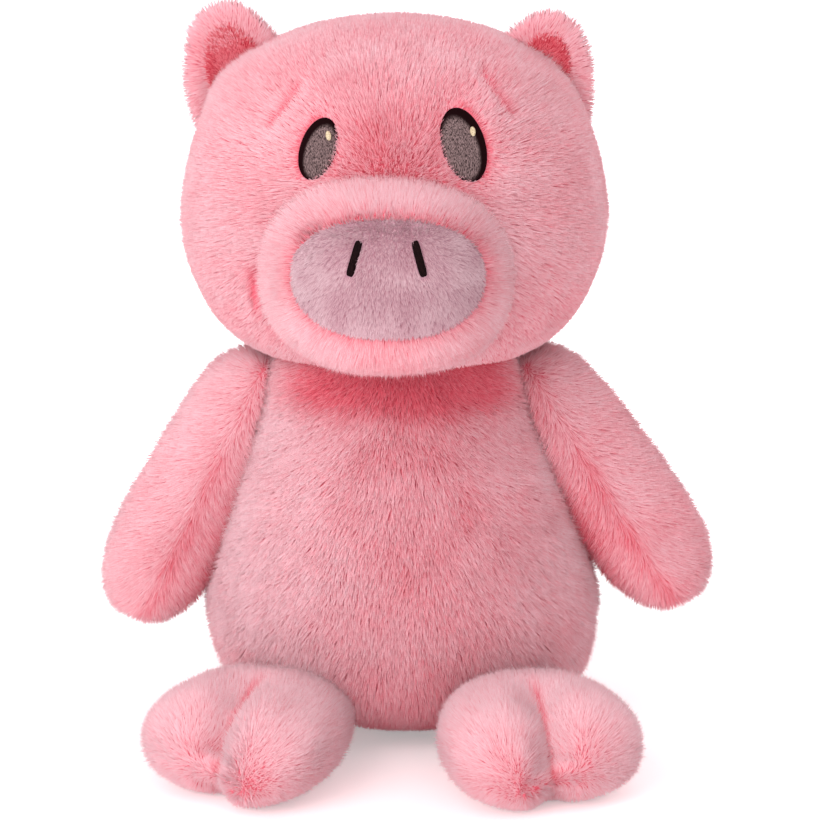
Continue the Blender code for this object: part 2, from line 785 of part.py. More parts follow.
def hip_place(side, sign, forward):
    """A hip's pivot, so far out along forward that the whole seam clears the body."""
    x = sign * HIP_OUT[side]
    place = Vector((x, body_face(x, hip_height(), -1.0), hip_height()))
    across = Vector((-forward.y, forward.x, 0.0))
    _, width_share, thickness_share = LEG_SHARES[0]
    top = hip_height() + FOOT_HEIGHT / 2 * thickness_share
    farthest = 0.0
    for i in range(-SEAM_SAMPLES, SEAM_SAMPLES + 1):
        x = place.x + across.x * FOOT_WIDTH / 2 * width_share * i / SEAM_SAMPLES
        on_body = Vector((x, body_face(x, top, -1.0), hip_height()))
        farthest = max(farthest, (on_body - place).dot(forward))
    return place + forward * (farthest + GAP)


def make_legs():
    for side, sign in SIDES.items():
        ahead = Matrix.Rotation(math.radians(90.0), 4, "X")
        splay = Matrix.Rotation(math.radians(sign * LEG_SPLAY_DEG[side]), 4, "Z")
        place = hip_place(side, sign, splay.to_3x3() @ Vector((0.0, -1.0, 0.0)))
        hip = pivot("hip_" + side, place, splay @ ahead)
        cover = object_from(leg_form(0.0, 0.0), "leg_cover_" + side, "plush", hip)
        hollow_form = leg_form(COVER_WALL, CUT_OVERRUN)
        cut(cover, object_from(hollow_form, "leg_hollow_cutter_" + side, "plush", hip))
        object_from(leg_form(COVER_WALL + GAP, 0.0), "leg_stuffing_" + side, "fibre", hip)
        make_toe_stitch(side, hip)


# Tail


def make_tail():
    """A tapering curl that starts square to the body's back."""
    root_radius = TAIL_DIAMETER / 2
    root_heights = (TAIL_HEIGHT - root_radius, TAIL_HEIGHT, TAIL_HEIGHT + root_radius)
    start_y = GAP + max(body_face(0.0, height, 1.0) for height in root_heights)
    points = []
    radii = []
    for i in range(TAIL_POINTS):
        share = i / (TAIL_POINTS - 1)
        turn = 2.0 * math.pi * TAIL_TURNS * share
        opening = TAIL_CURL_DIAMETER / 2 * ramp(share, TAIL_STRAIGHT_SHARE, TAIL_OPEN_SHARE)
        rise = opening * (1.0 - math.cos(turn))
        points.append((opening * math.sin(turn), start_y + TAIL_REACH * share, TAIL_HEIGHT + rise))
        radii.append(root_radius * (1.0 - (1.0 - TAIL_TIP_SHARE) * share))
    tube("tail", points, radii, "plush")


def main():
    clear_scene()
    make_body()
    place = Vector((-BODY_LEAN, 0.0, BODY_HEIGHT))
    neck = pivot("neck", place, Matrix.Rotation(math.radians(HEAD_TURN_DEG), 4, "Z"))
    make_head(neck)
    head_cutter = object_from(head_form(-GAP, 0.0), "head_cutter", "plush", neck)
    make_muzzle(neck, head_cutter)
    make_snout(neck)
    make_eyes(neck)
    make_brows(neck)
    make_ears(neck, head_cutter)
    make_arms()
    make_legs()
    make_tail()


main()
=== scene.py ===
"""The looks of a seated plush pig: stuffed skins with a long pile, thread eyes and nostrils, and a short-pile snout.

The pig faces -Y, and its left and right are the viewer's. All sizes are in metres. Each stuffed form is modelled at the
size of its cloth, and its pile is grown on it as single tapered strands, combed and drawn together in small tufts.
"""

import itertools
import json
import math

import bmesh
import bpy
import numpy as np
from mathutils import Matrix, Vector
from mathutils.bvhtree import BVHTree


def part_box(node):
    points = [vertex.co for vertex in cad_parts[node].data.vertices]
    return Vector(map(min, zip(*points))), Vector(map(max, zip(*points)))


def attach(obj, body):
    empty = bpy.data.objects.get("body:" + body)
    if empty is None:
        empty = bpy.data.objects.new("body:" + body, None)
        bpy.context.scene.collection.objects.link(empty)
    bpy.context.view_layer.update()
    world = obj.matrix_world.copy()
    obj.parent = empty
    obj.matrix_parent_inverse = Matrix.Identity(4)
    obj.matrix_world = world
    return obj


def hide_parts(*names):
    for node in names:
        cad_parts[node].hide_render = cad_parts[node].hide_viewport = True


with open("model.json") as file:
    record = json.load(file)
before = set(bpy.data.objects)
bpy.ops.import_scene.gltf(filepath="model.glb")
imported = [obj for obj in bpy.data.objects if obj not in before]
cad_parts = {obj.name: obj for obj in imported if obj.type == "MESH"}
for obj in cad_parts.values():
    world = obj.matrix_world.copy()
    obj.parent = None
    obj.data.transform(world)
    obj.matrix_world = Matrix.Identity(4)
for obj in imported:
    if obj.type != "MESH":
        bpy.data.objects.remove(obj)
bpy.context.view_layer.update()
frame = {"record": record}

# Camera and light
AIM = Vector((0.00156, -0.025, 0.133))
CAMERA_DISTANCE = 1.3
CAMERA_ELEVATION_DEG = 13.0
VIEW_WIDTH = 0.319
SENSOR_WIDTH_MM = 36.0
FLOOR_SIZE = 8.0

# Cloth and clearances, as the solids have them
GAP = 0.0003
FLOOR_CUT = 0.0005
STITCH_DIAMETER = 0.0012

# Body
BODY_HEIGHT = 0.153
BODY_WIDTH = 0.149
BODY_DEPTH = 0.112
BODY_LEAN = 0.0045
BODY_ROUNDNESS = 2.2
FRONT_TUCK = 0.0015
FRONT_TUCK_RISE = 0.0045
FRONT_TUCK_REACH = 0.020
FRONT_TUCK_MOST = 0.006
BODY_SHARES = (
    (0.000, 0.420, 0.43, 0.145),
    (0.030, 0.600, 0.64, 0.105),
    (0.070, 0.760, 0.79, 0.050),
    (0.125, 0.880, 0.89, 0.020),
    (0.215, 0.965, 0.96, 0.005),
    (0.330, 1.000, 1.00, 0.000),
    (0.450, 0.960, 0.97, 0.000),
    (0.600, 0.880, 0.91, 0.000),
    (0.740, 0.785, 0.83, 0.000),
    (0.860, 0.710, 0.75, 0.000),
    (0.940, 0.665, 0.70, 0.000),
    (1.000, 0.635, 0.66, 0.000),
)

# Head and muzzle, measured from the neck seam
NECK = Vector((-BODY_LEAN, 0.0, BODY_HEIGHT))
HEAD_TURN_DEG = -1.5
HEAD_WIDTH = 0.158
HEAD_DEPTH = 0.124
HEAD_RISE = 0.0760
HEAD_DROP = 0.060
HEAD_ABOVE_NECK = 0.052
HEAD_ROUNDNESS = 2.5
MUZZLE_WIDTH = 0.084
MUZZLE_HEIGHT = 0.066
MUZZLE_REACH = 0.040
MUZZLE_ROUNDNESS = 2.4
MUZZLE_MIDDLE = Vector((0.0, 0.010 - HEAD_DEPTH / 2, 0.0395))
MUZZLE_FLARE_LEFT = 0.0045
MUZZLE_FLARE_RIGHT = 0.0010
MUZZLE_FLARE_REACH = 0.014
SNOUT_WIDTH = 0.0705
SNOUT_HEIGHT = 0.042
SNOUT_THICKNESS = 0.0022
SNOUT_ROUNDNESS = 2.3
SNOUT_UP = MUZZLE_MIDDLE.z + 0.0040
NOSTRIL_LENGTH = 0.0130
NOSTRIL_WIDTH = 0.0029
NOSTRIL_SPREAD = 0.0238
NOSTRIL_RISE = 0.0085
NOSTRIL_TILT_DEG = 16.0

# Eyes and brows
EYE_WIDTH = {"left": 0.0134, "right": 0.0160}
EYE_HEIGHT = {"left": 0.0234, "right": 0.0278}
EYE_OUT = {"left": 0.0268, "right": 0.0275}
EYE_UP = {"left": HEAD_ABOVE_NECK + 0.0350, "right": HEAD_ABOVE_NECK + 0.0365}
EYE_TILT_DEG = 19.0
EYE_DOME = 0.0022
EYE_SHADE_SHIFT = 0.15
EYE_SHADE_WIDTH = 0.85
EYE_SHADE_HEIGHT = 0.90
GLINT_WIDTH = 0.0020
GLINT_HEIGHT = 0.0034
GLINT_RIGHT = {"left": 0.0040, "right": 0.0034}
GLINT_UP = 0.0052
BROW_LENGTH = 0.017
BROW_SPREAD = 0.077
BROW_UP = {"left": HEAD_ABOVE_NECK + 0.0490, "right": HEAD_ABOVE_NECK + 0.0535}
BROW_TILT_DEG = 36.0
BROW_RIDGE = 0.0016
BROW_RIDGE_AWAY = 0.0034
BROW_CREASE = 0.0010
FOLD_MIDDLE = (-0.0500, 0.033)
FOLD_HALF_WIDTH = 0.0020
FOLD_HALF_LENGTH = 0.0080
FOLD_DEPTH = 0.0020

# Ears
EAR_WIDTH = 0.037
EAR_LENGTH = 0.052
EAR_ROUNDNESS = 2.4
EAR_THICKNESS = 0.009
EAR_HOLLOW = 0.0045
EAR_TAPER_SHARE = 0.26
EAR_OUT = {"left": 0.0610, "right": 0.0560}
EAR_UP = {"left": HEAD_ABOVE_NECK + 0.0550, "right": HEAD_ABOVE_NECK + 0.0515}
EAR_BACK = 0.004
EAR_TILT_DEG = {"left": 18.0, "right": 14.0}
LINING_SHARE = 0.58
LINING_RISE = 0.0045
LINING_THICKNESS = 0.0012
LINING_TOP = {"left": 0.0105, "right": 0.0175}

# Arms
ARM_LENGTH = 0.1175
ARM_WIDTH = 0.039
ARM_THICKNESS = 0.032
ARM_BOW = 0.0085
ARM_DROP = 0.0200
ARM_OUTSET = {"left": 0.0010, "right": 0.0025}
ARM_SPLAY_DEG = {"left": 25.5, "right": 31.5}
ARM_ROUNDNESS = 2.0
ARM_PARTING = 0.004
# The right arm's pile is painted deeper all over, as shade on the side away from the light.
ARM_TINT_AND_SHADE = {"left": 0.18, "right": 0.30}
ARM_SHARES = (
    (0.012, 0.34, 0.34),
    (0.040, 0.62, 0.60),
    (0.100, 0.86, 0.82),
    (0.200, 0.98, 0.94),
    (0.360, 1.00, 1.00),
    (0.540, 1.00, 1.00),
    (0.700, 1.00, 1.00),
    (0.820, 0.92, 0.92),
    (0.910, 0.74, 0.74),
    (0.965, 0.50, 0.50),
    (0.992, 0.25, 0.24),
)

# Legs
LEG_LENGTH = 0.075
FOOT_WIDTH = 0.069
FOOT_HEIGHT = 0.0385
LEG_SPLAY_DEG = {"left": 21.0, "right": 9.0}
LEG_ROUNDNESS = 2.3
TOE_CLEFT_SHARE = 0.46
TOE_CLEFT_WIDTH = 0.016
TOE_NOTCH = 0.0080
INNER_TOE_REACH = {"left": 0.007, "right": 0.005}
TOE_DROP_OUTER = {"left": 0.35, "right": 0.5}
FOOT_BRUSHING = 0.8
LEG_SHARES = (
    (0.000, 0.58, 0.05),
    (0.090, 0.68, 0.43),
    (0.210, 0.78, 0.74),
    (0.360, 0.89, 0.94),
    (0.530, 0.97, 1.00),
    (0.690, 1.00, 0.98),
    (0.810, 0.96, 0.89),
    (0.900, 0.84, 0.72),
    (0.960, 0.64, 0.50),
    (0.992, 0.38, 0.26),
)

# Tail
TAIL_DIAMETER = 0.008
TAIL_CURL = 0.018
TAIL_REACH = 0.022
TAIL_TURNS = 1.1
TAIL_HEIGHT = 0.040

# Pile
PILE_LENGTH = 0.0056
PILE_WIDTH = 0.00023
PILE_PER_MM2 = 4.4
STRANDS_IN_A_PIECE = 60000
TUFT_SIZE = 0.0020
FLOOR_CLEARANCE = 0.0004
# SHADE_DEPTH is painted shade: the pile's tint is deeper where its skin faces away from LIT_FROM, a fixed light
# direction.
SHADE_DEPTH = 0.10
UNDERSIDE_SHADING = 0.3
STRAND_ROUNDING = 0.25
ARM_SEAM_RADIUS = 0.010
ARM_SEAM_PILE = 0.3
THIRDS = (0.0, 2.0 * math.pi / 3.0, 4.0 * math.pi / 3.0)
LIT_FROM = (-0.55, -0.60, 0.58)

SIDES = {"left": -1.0, "right": 1.0}
JOINTS = {joint["name"]: joint for joint in frame["record"]["behaviour"]["joints"]}


# Places and noise


def joint_place(name):
    return Vector(JOINTS[name]["pos_m"])


def neck_frame():
    return Matrix.Translation(NECK) @ Matrix.Rotation(math.radians(HEAD_TURN_DEG), 4, "Z")


def shoulder_frame(side):
    splay = Matrix.Rotation(math.radians(-SIDES[side] * ARM_SPLAY_DEG[side]), 4, "Y")
    return Matrix.Translation(joint_place("arm_swing_" + side)) @ splay


def hip_frame(side):
    splay = Matrix.Rotation(math.radians(SIDES[side] * LEG_SPLAY_DEG[side]), 4, "Z")
    return Matrix.Translation(joint_place("leg_fold_" + side)) @ splay @ Matrix.Rotation(math.radians(90.0), 4, "X")


def moved(points, matrix):
    """An array of points, each moved by a 4 x 4 matrix."""
    array = np.array(matrix)
    return points @ array[:3, :3].T + array[:3, 3]


def turned(vectors, matrix):
    return vectors @ np.array(matrix)[:3, :3].T


def unit(vectors):
    return vectors / np.maximum(np.linalg.norm(vectors, axis=-1, keepdims=True), 1e-9)


def ramp(values, low, high):
    """Rises smoothly from 0 to 1 between low and high."""
    part = np.clip((values - low) / (high - low), 0.0, 1.0)
    return part * part * (3.0 - 2.0 * part)


def scatter(cells, salt):
    """A steady pseudo-random number from 0 to 1 for each row of three whole numbers."""
    mixed = cells[:, 0] * 73856093 ^ cells[:, 1] * 19349663 ^ cells[:, 2] * 83492791 ^ (salt + 1) * 50331653
    mixed = (mixed ^ (mixed >> 13)) * 1274126177
    mixed ^= mixed >> 16
    return (mixed & 0xFFFFFF) / 0xFFFFFF


def noise(points, size, salt):
    """Smooth noise from -1 to 1 with features of the given size."""
    low = np.floor(points / size).astype(np.int64)
    part = points / size - low
    part = part * part * (3.0 - 2.0 * part)
    total = np.zeros(len(points))
    for corner in itertools.product((0, 1), repeat=3):
        weight = np.prod(np.where(corner, part, 1.0 - part), axis=1)
        total += weight * scatter(low + np.array(corner), salt)
    return 2.0 * total - 1.0


def tufts(points, size, salt):
    """The number of the tuft that each root belongs to, which is the one with the nearest scattered middle."""
    low = np.floor(points / size).astype(np.int64)
    nearest = np.full(len(points), np.inf)
    key = np.zeros(len(points), dtype=np.int64)
    for shift in itertools.product((-1, 0, 1), repeat=3):
        cell = low + np.array(shift)
        middle = (cell + np.stack([scatter(cell, salt + axis) for axis in range(3)], axis=1)) * size
        distance = ((points - middle) ** 2).sum(axis=1)
        closer = distance < nearest
        nearest[closer] = distance[closer]
        key[closer] = (cell[closer, 0] * 4001 + cell[closer, 1]) * 4001 + cell[closer, 2]
    return np.unique(key, return_inverse=True)[1]


# Colours and materials


def srgb(red, green, blue):
    """Linear colour from the eight-bit values that a screen shows."""
    channels = []
    for value in (red, green, blue):
        part = value / 255.0
        channels.append(part / 12.92 if part <= 0.04045 else ((part + 0.055) / 1.055) ** 2.4)
    return (*channels, 1.0)


def new_material(name, roughness, sheen=0.0, sheen_tint=(1.0, 1.0, 1.0, 1.0), specular=0.3):
    """A material with its node tree and its Principled shader."""
    made = bpy.data.materials.new(name)
    made.use_nodes = True
    tree = made.node_tree
    shader = tree.nodes["Principled BSDF"]
    shader.inputs["Roughness"].default_value = roughness
    shader.inputs["Specular IOR Level"].default_value = specular
    shader.inputs["Sheen Weight"].default_value = sheen
    shader.inputs["Sheen Roughness"].default_value = 0.5
    shader.inputs["Sheen Tint"].default_value = sheen_tint
    return made, tree, shader


def ramp_node(tree, stops):
    node = tree.nodes.new("ShaderNodeValToRGB")
    elements = node.color_ramp.elements
    while len(elements) < len(stops):
        elements.new(0.5)
    for element, (place, colour) in zip(elements, stops):
        element.position = place
        element.color = colour
    return node


def pile_material(name, roots, middles, tips):
    """Pile coloured from root to tip along U, with V going from its palest to its deepest tint. The deeper roots are
    partly the pile's own colour and partly painted shade deep in the pile, and in places the tints use the deep end for
    painted shade.
    """
    made, tree, shader = new_material(name, 0.85, specular=0.0)
    where = tree.nodes.new("ShaderNodeUVMap")
    where.uv_map = "OFBake"
    split = tree.nodes.new("ShaderNodeSeparateXYZ")
    tree.links.new(where.outputs["UV"], split.inputs["Vector"])
    blend = tree.nodes.new("ShaderNodeMix")
    blend.data_type = "RGBA"
    tree.links.new(split.outputs["Y"], blend.inputs["Factor"])
    for tint, socket in ((0, blend.inputs[6]), (1, blend.inputs[7])):
        node = ramp_node(tree, ((0.0, roots[tint]), (0.45, middles[tint]), (1.0, tips[tint])))
        tree.links.new(split.outputs["X"], node.inputs["Fac"])
        tree.links.new(node.outputs["Color"], socket)
    tree.links.new(blend.outputs[2], shader.inputs["Base Color"])
    return made


def noisy_colour(tree, shader, first, second, scale, detail=4.0, stretch=(1.0, 1.0, 1.0)):
    """Base colour that wanders between two colours, by where a point is on the object."""
    where = tree.nodes.new("ShaderNodeTexCoord")
    mapping = tree.nodes.new("ShaderNodeMapping")
    mapping.inputs["Scale"].default_value = stretch
    tree.links.new(where.outputs["Object"], mapping.inputs["Vector"])
    texture = tree.nodes.new("ShaderNodeTexNoise")
    texture.inputs["Scale"].default_value = scale
    texture.inputs["Detail"].default_value = detail
    tree.links.new(mapping.outputs["Vector"], texture.inputs["Vector"])
    node = ramp_node(tree, ((0.35, first), (0.65, second)))
    tree.links.new(texture.outputs["Fac"], node.inputs["Fac"])
    tree.links.new(node.outputs["Color"], shader.inputs["Base Color"])
    return texture, node


def bumpy(tree, shader, texture, strength, distance):
    bump = tree.nodes.new("ShaderNodeBump")
    bump.inputs["Strength"].default_value = strength
    bump.inputs["Distance"].default_value = distance
    tree.links.new(texture.outputs["Fac"], bump.inputs["Height"])
    tree.links.new(bump.outputs["Normal"], shader.inputs["Normal"])


def skin_material():
    made, tree, shader = new_material("plush_backing", 0.9, specular=0.0)
    texture, _ = noisy_colour(tree, shader, srgb(222, 96, 114), srgb(242, 130, 146), 900.0)
    bumpy(tree, shader, texture, 0.4, 0.0004)
    return made


def thread_material(name, first, second, roughness=0.55, scale=2200.0, stretch=(1.0, 1.0, 1.0)):
    made, tree, shader = new_material(name, roughness, specular=0.1)
    texture, _ = noisy_colour(tree, shader, first, second, scale, 6.0, stretch)
    bumpy(tree, shader, texture, 0.3, 0.0001)
    return made


def eye_material():
    """Charcoal thread in fine upright rows, near black where the attribute edge is 1: painted shade on the eye's outer
    rim, where the pile round it would shade it.
    """
    made, tree, shader = new_material("eye_thread", 0.9, specular=0.05)
    texture, colour = noisy_colour(tree, shader, srgb(14, 4, 8), srgb(148, 122, 122), 2300.0, 4.0, (1.7, 1.0, 0.5))
    edge = tree.nodes.new("ShaderNodeAttribute")
    edge.attribute_name = "edge"
    blend = tree.nodes.new("ShaderNodeMix")
    blend.data_type = "RGBA"
    tree.links.new(edge.outputs["Fac"], blend.inputs["Factor"])
    tree.links.new(colour.outputs["Color"], blend.inputs[6])
    # Painted shade: the near-black colour of the eye's outer rim.
    blend.inputs[7].default_value = srgb(22, 4, 6)
    tree.links.new(blend.outputs[2], shader.inputs["Base Color"])
    bumpy(tree, shader, texture, 0.3, 0.0001)
    return made


SKIN = skin_material()
# Each palette runs from pale to deep. The deeper roots are partly painted shade deep in the pile, and the deep end
# carries painted shade where the tints ask for it.
PILE = pile_material(
    "plush_pile",
    (srgb(253, 160, 173), srgb(208, 56, 74)),
    (srgb(255, 192, 202), srgb(238, 94, 112)),
    (srgb(255, 216, 223), srgb(248, 134, 148)),
)
SNOUT_PILE = pile_material(
    "snout_pile",
    (srgb(212, 156, 168), srgb(160, 96, 112)),
    (srgb(232, 192, 200), srgb(200, 148, 160)),
    (srgb(244, 218, 224), srgb(222, 182, 192)),
)
LINING_PILE = pile_material(
    "ear_lining_pile",
    (srgb(220, 80, 94), srgb(190, 40, 56)),
    (srgb(242, 122, 136), srgb(224, 84, 98)),
    (srgb(252, 168, 178), srgb(242, 124, 136)),
)
SNOUT_SKIN = thread_material("snout_backing", srgb(186, 138, 152), srgb(206, 160, 174), 0.9)
LINING_SKIN = thread_material("ear_lining_backing", srgb(190, 40, 56), srgb(216, 70, 84), 0.9)
EYE_THREAD = eye_material()
NOSTRIL_THREAD = thread_material("nostril_thread", srgb(6, 2, 3), srgb(34, 14, 16), 0.9)
GLINT_THREAD = thread_material("highlight_thread", srgb(176, 152, 118), srgb(224, 206, 176))
PINK_THREAD = thread_material("pink_thread", srgb(206, 90, 106), srgb(230, 124, 138))


# Skins


def new_object(name, mesh, material):
    made = bpy.data.objects.new(name, mesh)
    mesh.materials.append(material)
    bpy.context.scene.collection.objects.link(made)
    return made


def unit_outline(turns, roundness):
    """Points of the unit superellipse: a circle at a roundness of 2, and squarer above."""
    x, y = np.cos(turns), np.sin(turns)
    reach = (abs(x) ** roundness + abs(y) ** roundness) ** (-1.0 / roundness)
    return x * reach, y * reach


def smooth_rows(rows, count):
    """Rows of numbers drawn through the given ones on a Catmull-Rom curve, evenly by their order."""
    rows = np.array(rows)
    padded = np.vstack([2 * rows[0] - rows[1], rows, 2 * rows[-1] - rows[-2]])
    place = np.linspace(0.0, len(rows) - 1.0, count)
    start = np.minimum(place.astype(int), len(rows) - 2)
    t = (place - start)[:, None]
    a, b, c, d = (padded[start + k] for k in range(4))
    return 0.5 * (2 * b + (c - a) * t + (2 * a - 5 * b + 4 * c - d) * t**2 + (3 * b - a - 3 * c + d) * t**3)


def closed_mesh(rows):
    """A closed bmesh over an array of rings (ring, point, 3), with its ends as fans."""
    bm = bmesh.new()
    rings = [[bm.verts.new(point) for point in ring] for ring in rows]
    for low, high in zip(rings, rings[1:]):
        for i in range(len(low)):
            after = (i + 1) % len(low)
            bm.faces.new((low[i], low[after], high[after], high[i]))
    for end in (rings[0], rings[-1]):
        bm.faces.new(end)
    bmesh.ops.poke(bm, faces=[face for face in bm.faces if len(face.verts) > 4])
    bmesh.ops.recalc_face_normals(bm, faces=bm.faces)
    return bm


def cut_flat(bm, point, normal):
    """Removes what lies beyond a plane, on the side that its normal points to, and closes the hole."""
    everything = bm.verts[:] + bm.edges[:] + bm.faces[:]
    bmesh.ops.bisect_plane(bm, geom=everything, plane_co=point, plane_no=normal, clear_outer=True)
    rim = [edge for edge in bm.edges if edge.is_boundary]
    if rim:
        bmesh.ops.contextual_create(bm, geom=rim)


def skin_object(bm, name, matrix, material=SKIN):
    """A smooth object from a bmesh that is in the frame of the given matrix."""
    bmesh.ops.transform(bm, matrix=matrix, verts=bm.verts)
    bmesh.ops.recalc_face_normals(bm, faces=bm.faces)
    if bm.calc_volume(signed=True) < 0.0:
        bmesh.ops.reverse_faces(bm, faces=bm.faces)
    mesh = bpy.data.meshes.new(name)
    bm.to_mesh(mesh)
    bm.free()
    mesh.shade_smooth()
    return new_object(name, mesh, material)


def sphere_rows(semi_axes_of, roundness, rings, segments, facing=None):
    """Rings of a superellipsoid's points; semi_axes_of gives its half sizes for the directions."""
    rows = []
    for i in range(1, rings):
        polar = math.pi * i / rings
        turns = np.linspace(0.0, 2.0 * math.pi, segments, endpoint=False)
        directions = np.stack(
            [math.sin(polar) * np.cos(turns), math.sin(polar) * np.sin(turns), np.full(segments, math.cos(polar))],
            axis=1,
        )
        if facing is not None:
            directions = turned(directions, facing)
        total = ((abs(directions) / semi_axes_of(directions)) ** roundness).sum(axis=1, keepdims=True)
        rows.append(directions * total ** (-1.0 / roundness))
    return np.array(rows)


def body_tuck(x, y):
    """How far the body's underside is tucked up between the legs, in front."""
    tuck = np.minimum(FRONT_TUCK + FRONT_TUCK_RISE * (x / FRONT_TUCK_REACH) ** 2, FRONT_TUCK_MOST)
    return tuck * ramp(-y, -0.004, 0.012) * ramp(-abs(x), -0.045, -0.028)


def body_skin():
    rows = smooth_rows(BODY_SHARES, 100)
    turns = np.linspace(0.0, 2.0 * math.pi, 128, endpoint=False)
    x, y = unit_outline(turns, BODY_ROUNDNESS)
    rings = []
    for height, width, depth, back in rows:
        ring_x = -BODY_LEAN * height + BODY_WIDTH / 2 * width * x
        ring_y = BODY_DEPTH * back + BODY_DEPTH / 2 * depth * y
        ring_z = np.maximum(BODY_HEIGHT * height, body_tuck(ring_x, ring_y))
        rings.append(np.stack([ring_x, ring_y, ring_z], axis=1))
    return skin_object(closed_mesh(np.array(rings)), "body_skin", Matrix())


def head_semi_axes(directions):
    rise = np.where(directions[:, 2] > 0.0, HEAD_RISE, HEAD_DROP)
    return np.stack([np.full(len(rise), HEAD_WIDTH / 2), np.full(len(rise), HEAD_DEPTH / 2), rise], axis=1)


def head_level(points):
    """Below 1 inside the head and above 1 outside it, for points in the neck's frame."""
    from_middle = points - np.array((0.0, 0.0, HEAD_ABOVE_NECK))
    return ((abs(from_middle) / head_semi_axes(from_middle)) ** HEAD_ROUNDNESS).sum(axis=1)


def muzzle_level(points):
    half = np.array((MUZZLE_WIDTH / 2, MUZZLE_REACH, MUZZLE_HEIGHT / 2))
    return ((abs(points - np.array(MUZZLE_MIDDLE)) / half) ** MUZZLE_ROUNDNESS).sum(axis=1)


def head_skin():
    rows = sphere_rows(head_semi_axes, HEAD_ROUNDNESS, 96, 128) + np.array((0.0, 0.0, HEAD_ABOVE_NECK))
    bm = closed_mesh(rows)
    cut_flat(bm, Vector((0.0, 0.0, GAP)), Vector((0.0, 0.0, -1.0)))
    return skin_object(bm, "head_skin", neck_frame())


def head_front(x, z):
    """The y of the face at x and a height z above the neck seam."""
    up = z - HEAD_ABOVE_NECK
    half_z = np.where(up > 0.0, HEAD_RISE, HEAD_DROP)
    rest = 1.0 - abs(x / (HEAD_WIDTH / 2)) ** HEAD_ROUNDNESS - abs(up / half_z) ** HEAD_ROUNDNESS
    return -HEAD_DEPTH / 2 * np.maximum(rest, 0.0) ** (1.0 / HEAD_ROUNDNESS)


def muzzle_skin():
    def semi_axes(directions):
        return np.array((MUZZLE_WIDTH / 2, MUZZLE_REACH, MUZZLE_HEIGHT / 2))

    facing_front = Matrix.Rotation(math.radians(90.0), 4, "X")
    rows = sphere_rows(semi_axes, MUZZLE_ROUNDNESS, 72, 96, facing_front) + np.array(MUZZLE_MIDDLE)
    proud = head_front(rows[..., 0], rows[..., 2]) - rows[..., 1]
    to_right = ramp(rows[..., 0], -MUZZLE_WIDTH / 2, MUZZLE_WIDTH / 2)
    flare = MUZZLE_FLARE_LEFT + (MUZZLE_FLARE_RIGHT - MUZZLE_FLARE_LEFT) * to_right
    flare = flare * np.clip(1.0 - proud / MUZZLE_FLARE_REACH, 0.0, 1.0) ** 2
    outward = rows[..., (0, 2)] - np.array((MUZZLE_MIDDLE.x, MUZZLE_MIDDLE.z))
    flare = flare * ramp(np.linalg.norm(outward, axis=-1), 0.008, 0.028)
    rows[..., (0, 2)] += unit(outward) * flare[..., None]
    rows[..., 1] = np.minimum(rows[..., 1], head_front(rows[..., 0], rows[..., 2]) - GAP)
    return skin_object(closed_mesh(rows), "muzzle_skin", neck_frame())


def arm_skin(side):
    rows = smooth_rows(ARM_SHARES, 90)
    turns = np.linspace(0.0, 2.0 * math.pi, 72, endpoint=False)
    x, y = unit_outline(turns, ARM_ROUNDNESS)
    rings = []
    for share, width, thickness in rows:
        middle = ARM_OUTSET[side] + ARM_BOW * math.sin(math.pi / 2 * share)
        ring_x = SIDES[side] * (middle + ARM_WIDTH / 2 * width * x)
        ring_y = ARM_THICKNESS / 2 * thickness * y
        rings.append(np.stack([ring_x, ring_y, np.full(len(turns), ARM_DROP - ARM_LENGTH * share)], axis=1))
    bm = closed_mesh(np.array(rings))
    outward = Vector(JOINTS["arm_swing_" + side]["axis"]) * -SIDES[side]
    inward = shoulder_frame(side).to_3x3().inverted() @ -outward
    cut_flat(bm, Vector(), inward)
    return skin_object(bm, "arm_skin_" + side, shoulder_frame(side))


def cleft(x, share):
    """The share of its height that the top keeps, and how far the tip draws back, x off the middle line."""
    near_middle = np.exp(-((2.0 * x / TOE_CLEFT_WIDTH) ** 2))
    kept = 1.0 - TOE_CLEFT_SHARE * near_middle * ramp(share, 0.35, 0.75)
    return kept, TOE_NOTCH * near_middle * ramp(share, 0.60, 1.0)


def toe_drop(share, thickness):
    """How far the toes' sections sink to the floor as they grow thinner."""
    return 0.5 * FOOT_HEIGHT / 2 * (1.0 - thickness) * float(ramp(np.array(share), 0.6, 0.9))


def leg_skin(side):
    rows = smooth_rows(LEG_SHARES, 80)
    turns = np.linspace(0.0, 2.0 * math.pi, 112, endpoint=False)
    x, y = unit_outline(turns, LEG_ROUNDNESS)
    rings = []
    for share, width, thickness in rows:
        across = FOOT_WIDTH / 2 * width * x
        kept, draw = cleft(across, share)
        up = FOOT_HEIGHT / 2 * thickness * y
        dropped = TOE_DROP_OUTER[side] + (1.0 - TOE_DROP_OUTER[side]) * ramp(-SIDES[side] * across, -0.022, 0.008)
        up = np.where(up > 0.0, up * kept, up) - toe_drop(share, thickness) * dropped
        up = np.maximum(up, FLOOR_CUT - FOOT_HEIGHT / 2)
        inner = ramp(-SIDES[side] * across, -0.002, 0.010) * float(ramp(np.array(share), 0.55, 0.95))
        rings.append(np.stack([across, up, LEG_LENGTH * share - draw + INNER_TOE_REACH[side] * inner], axis=1))
    return skin_object(closed_mesh(np.array(rings)), "leg_skin_" + side, hip_frame(side))


def ear_frame(side):
    place = Vector((SIDES[side] * EAR_OUT[side], EAR_BACK, EAR_UP[side]))
    tilt = Matrix.Rotation(math.radians(SIDES[side] * EAR_TILT_DEG[side]), 4, "Y")
    return neck_frame() @ Matrix.Translation(place) @ tilt


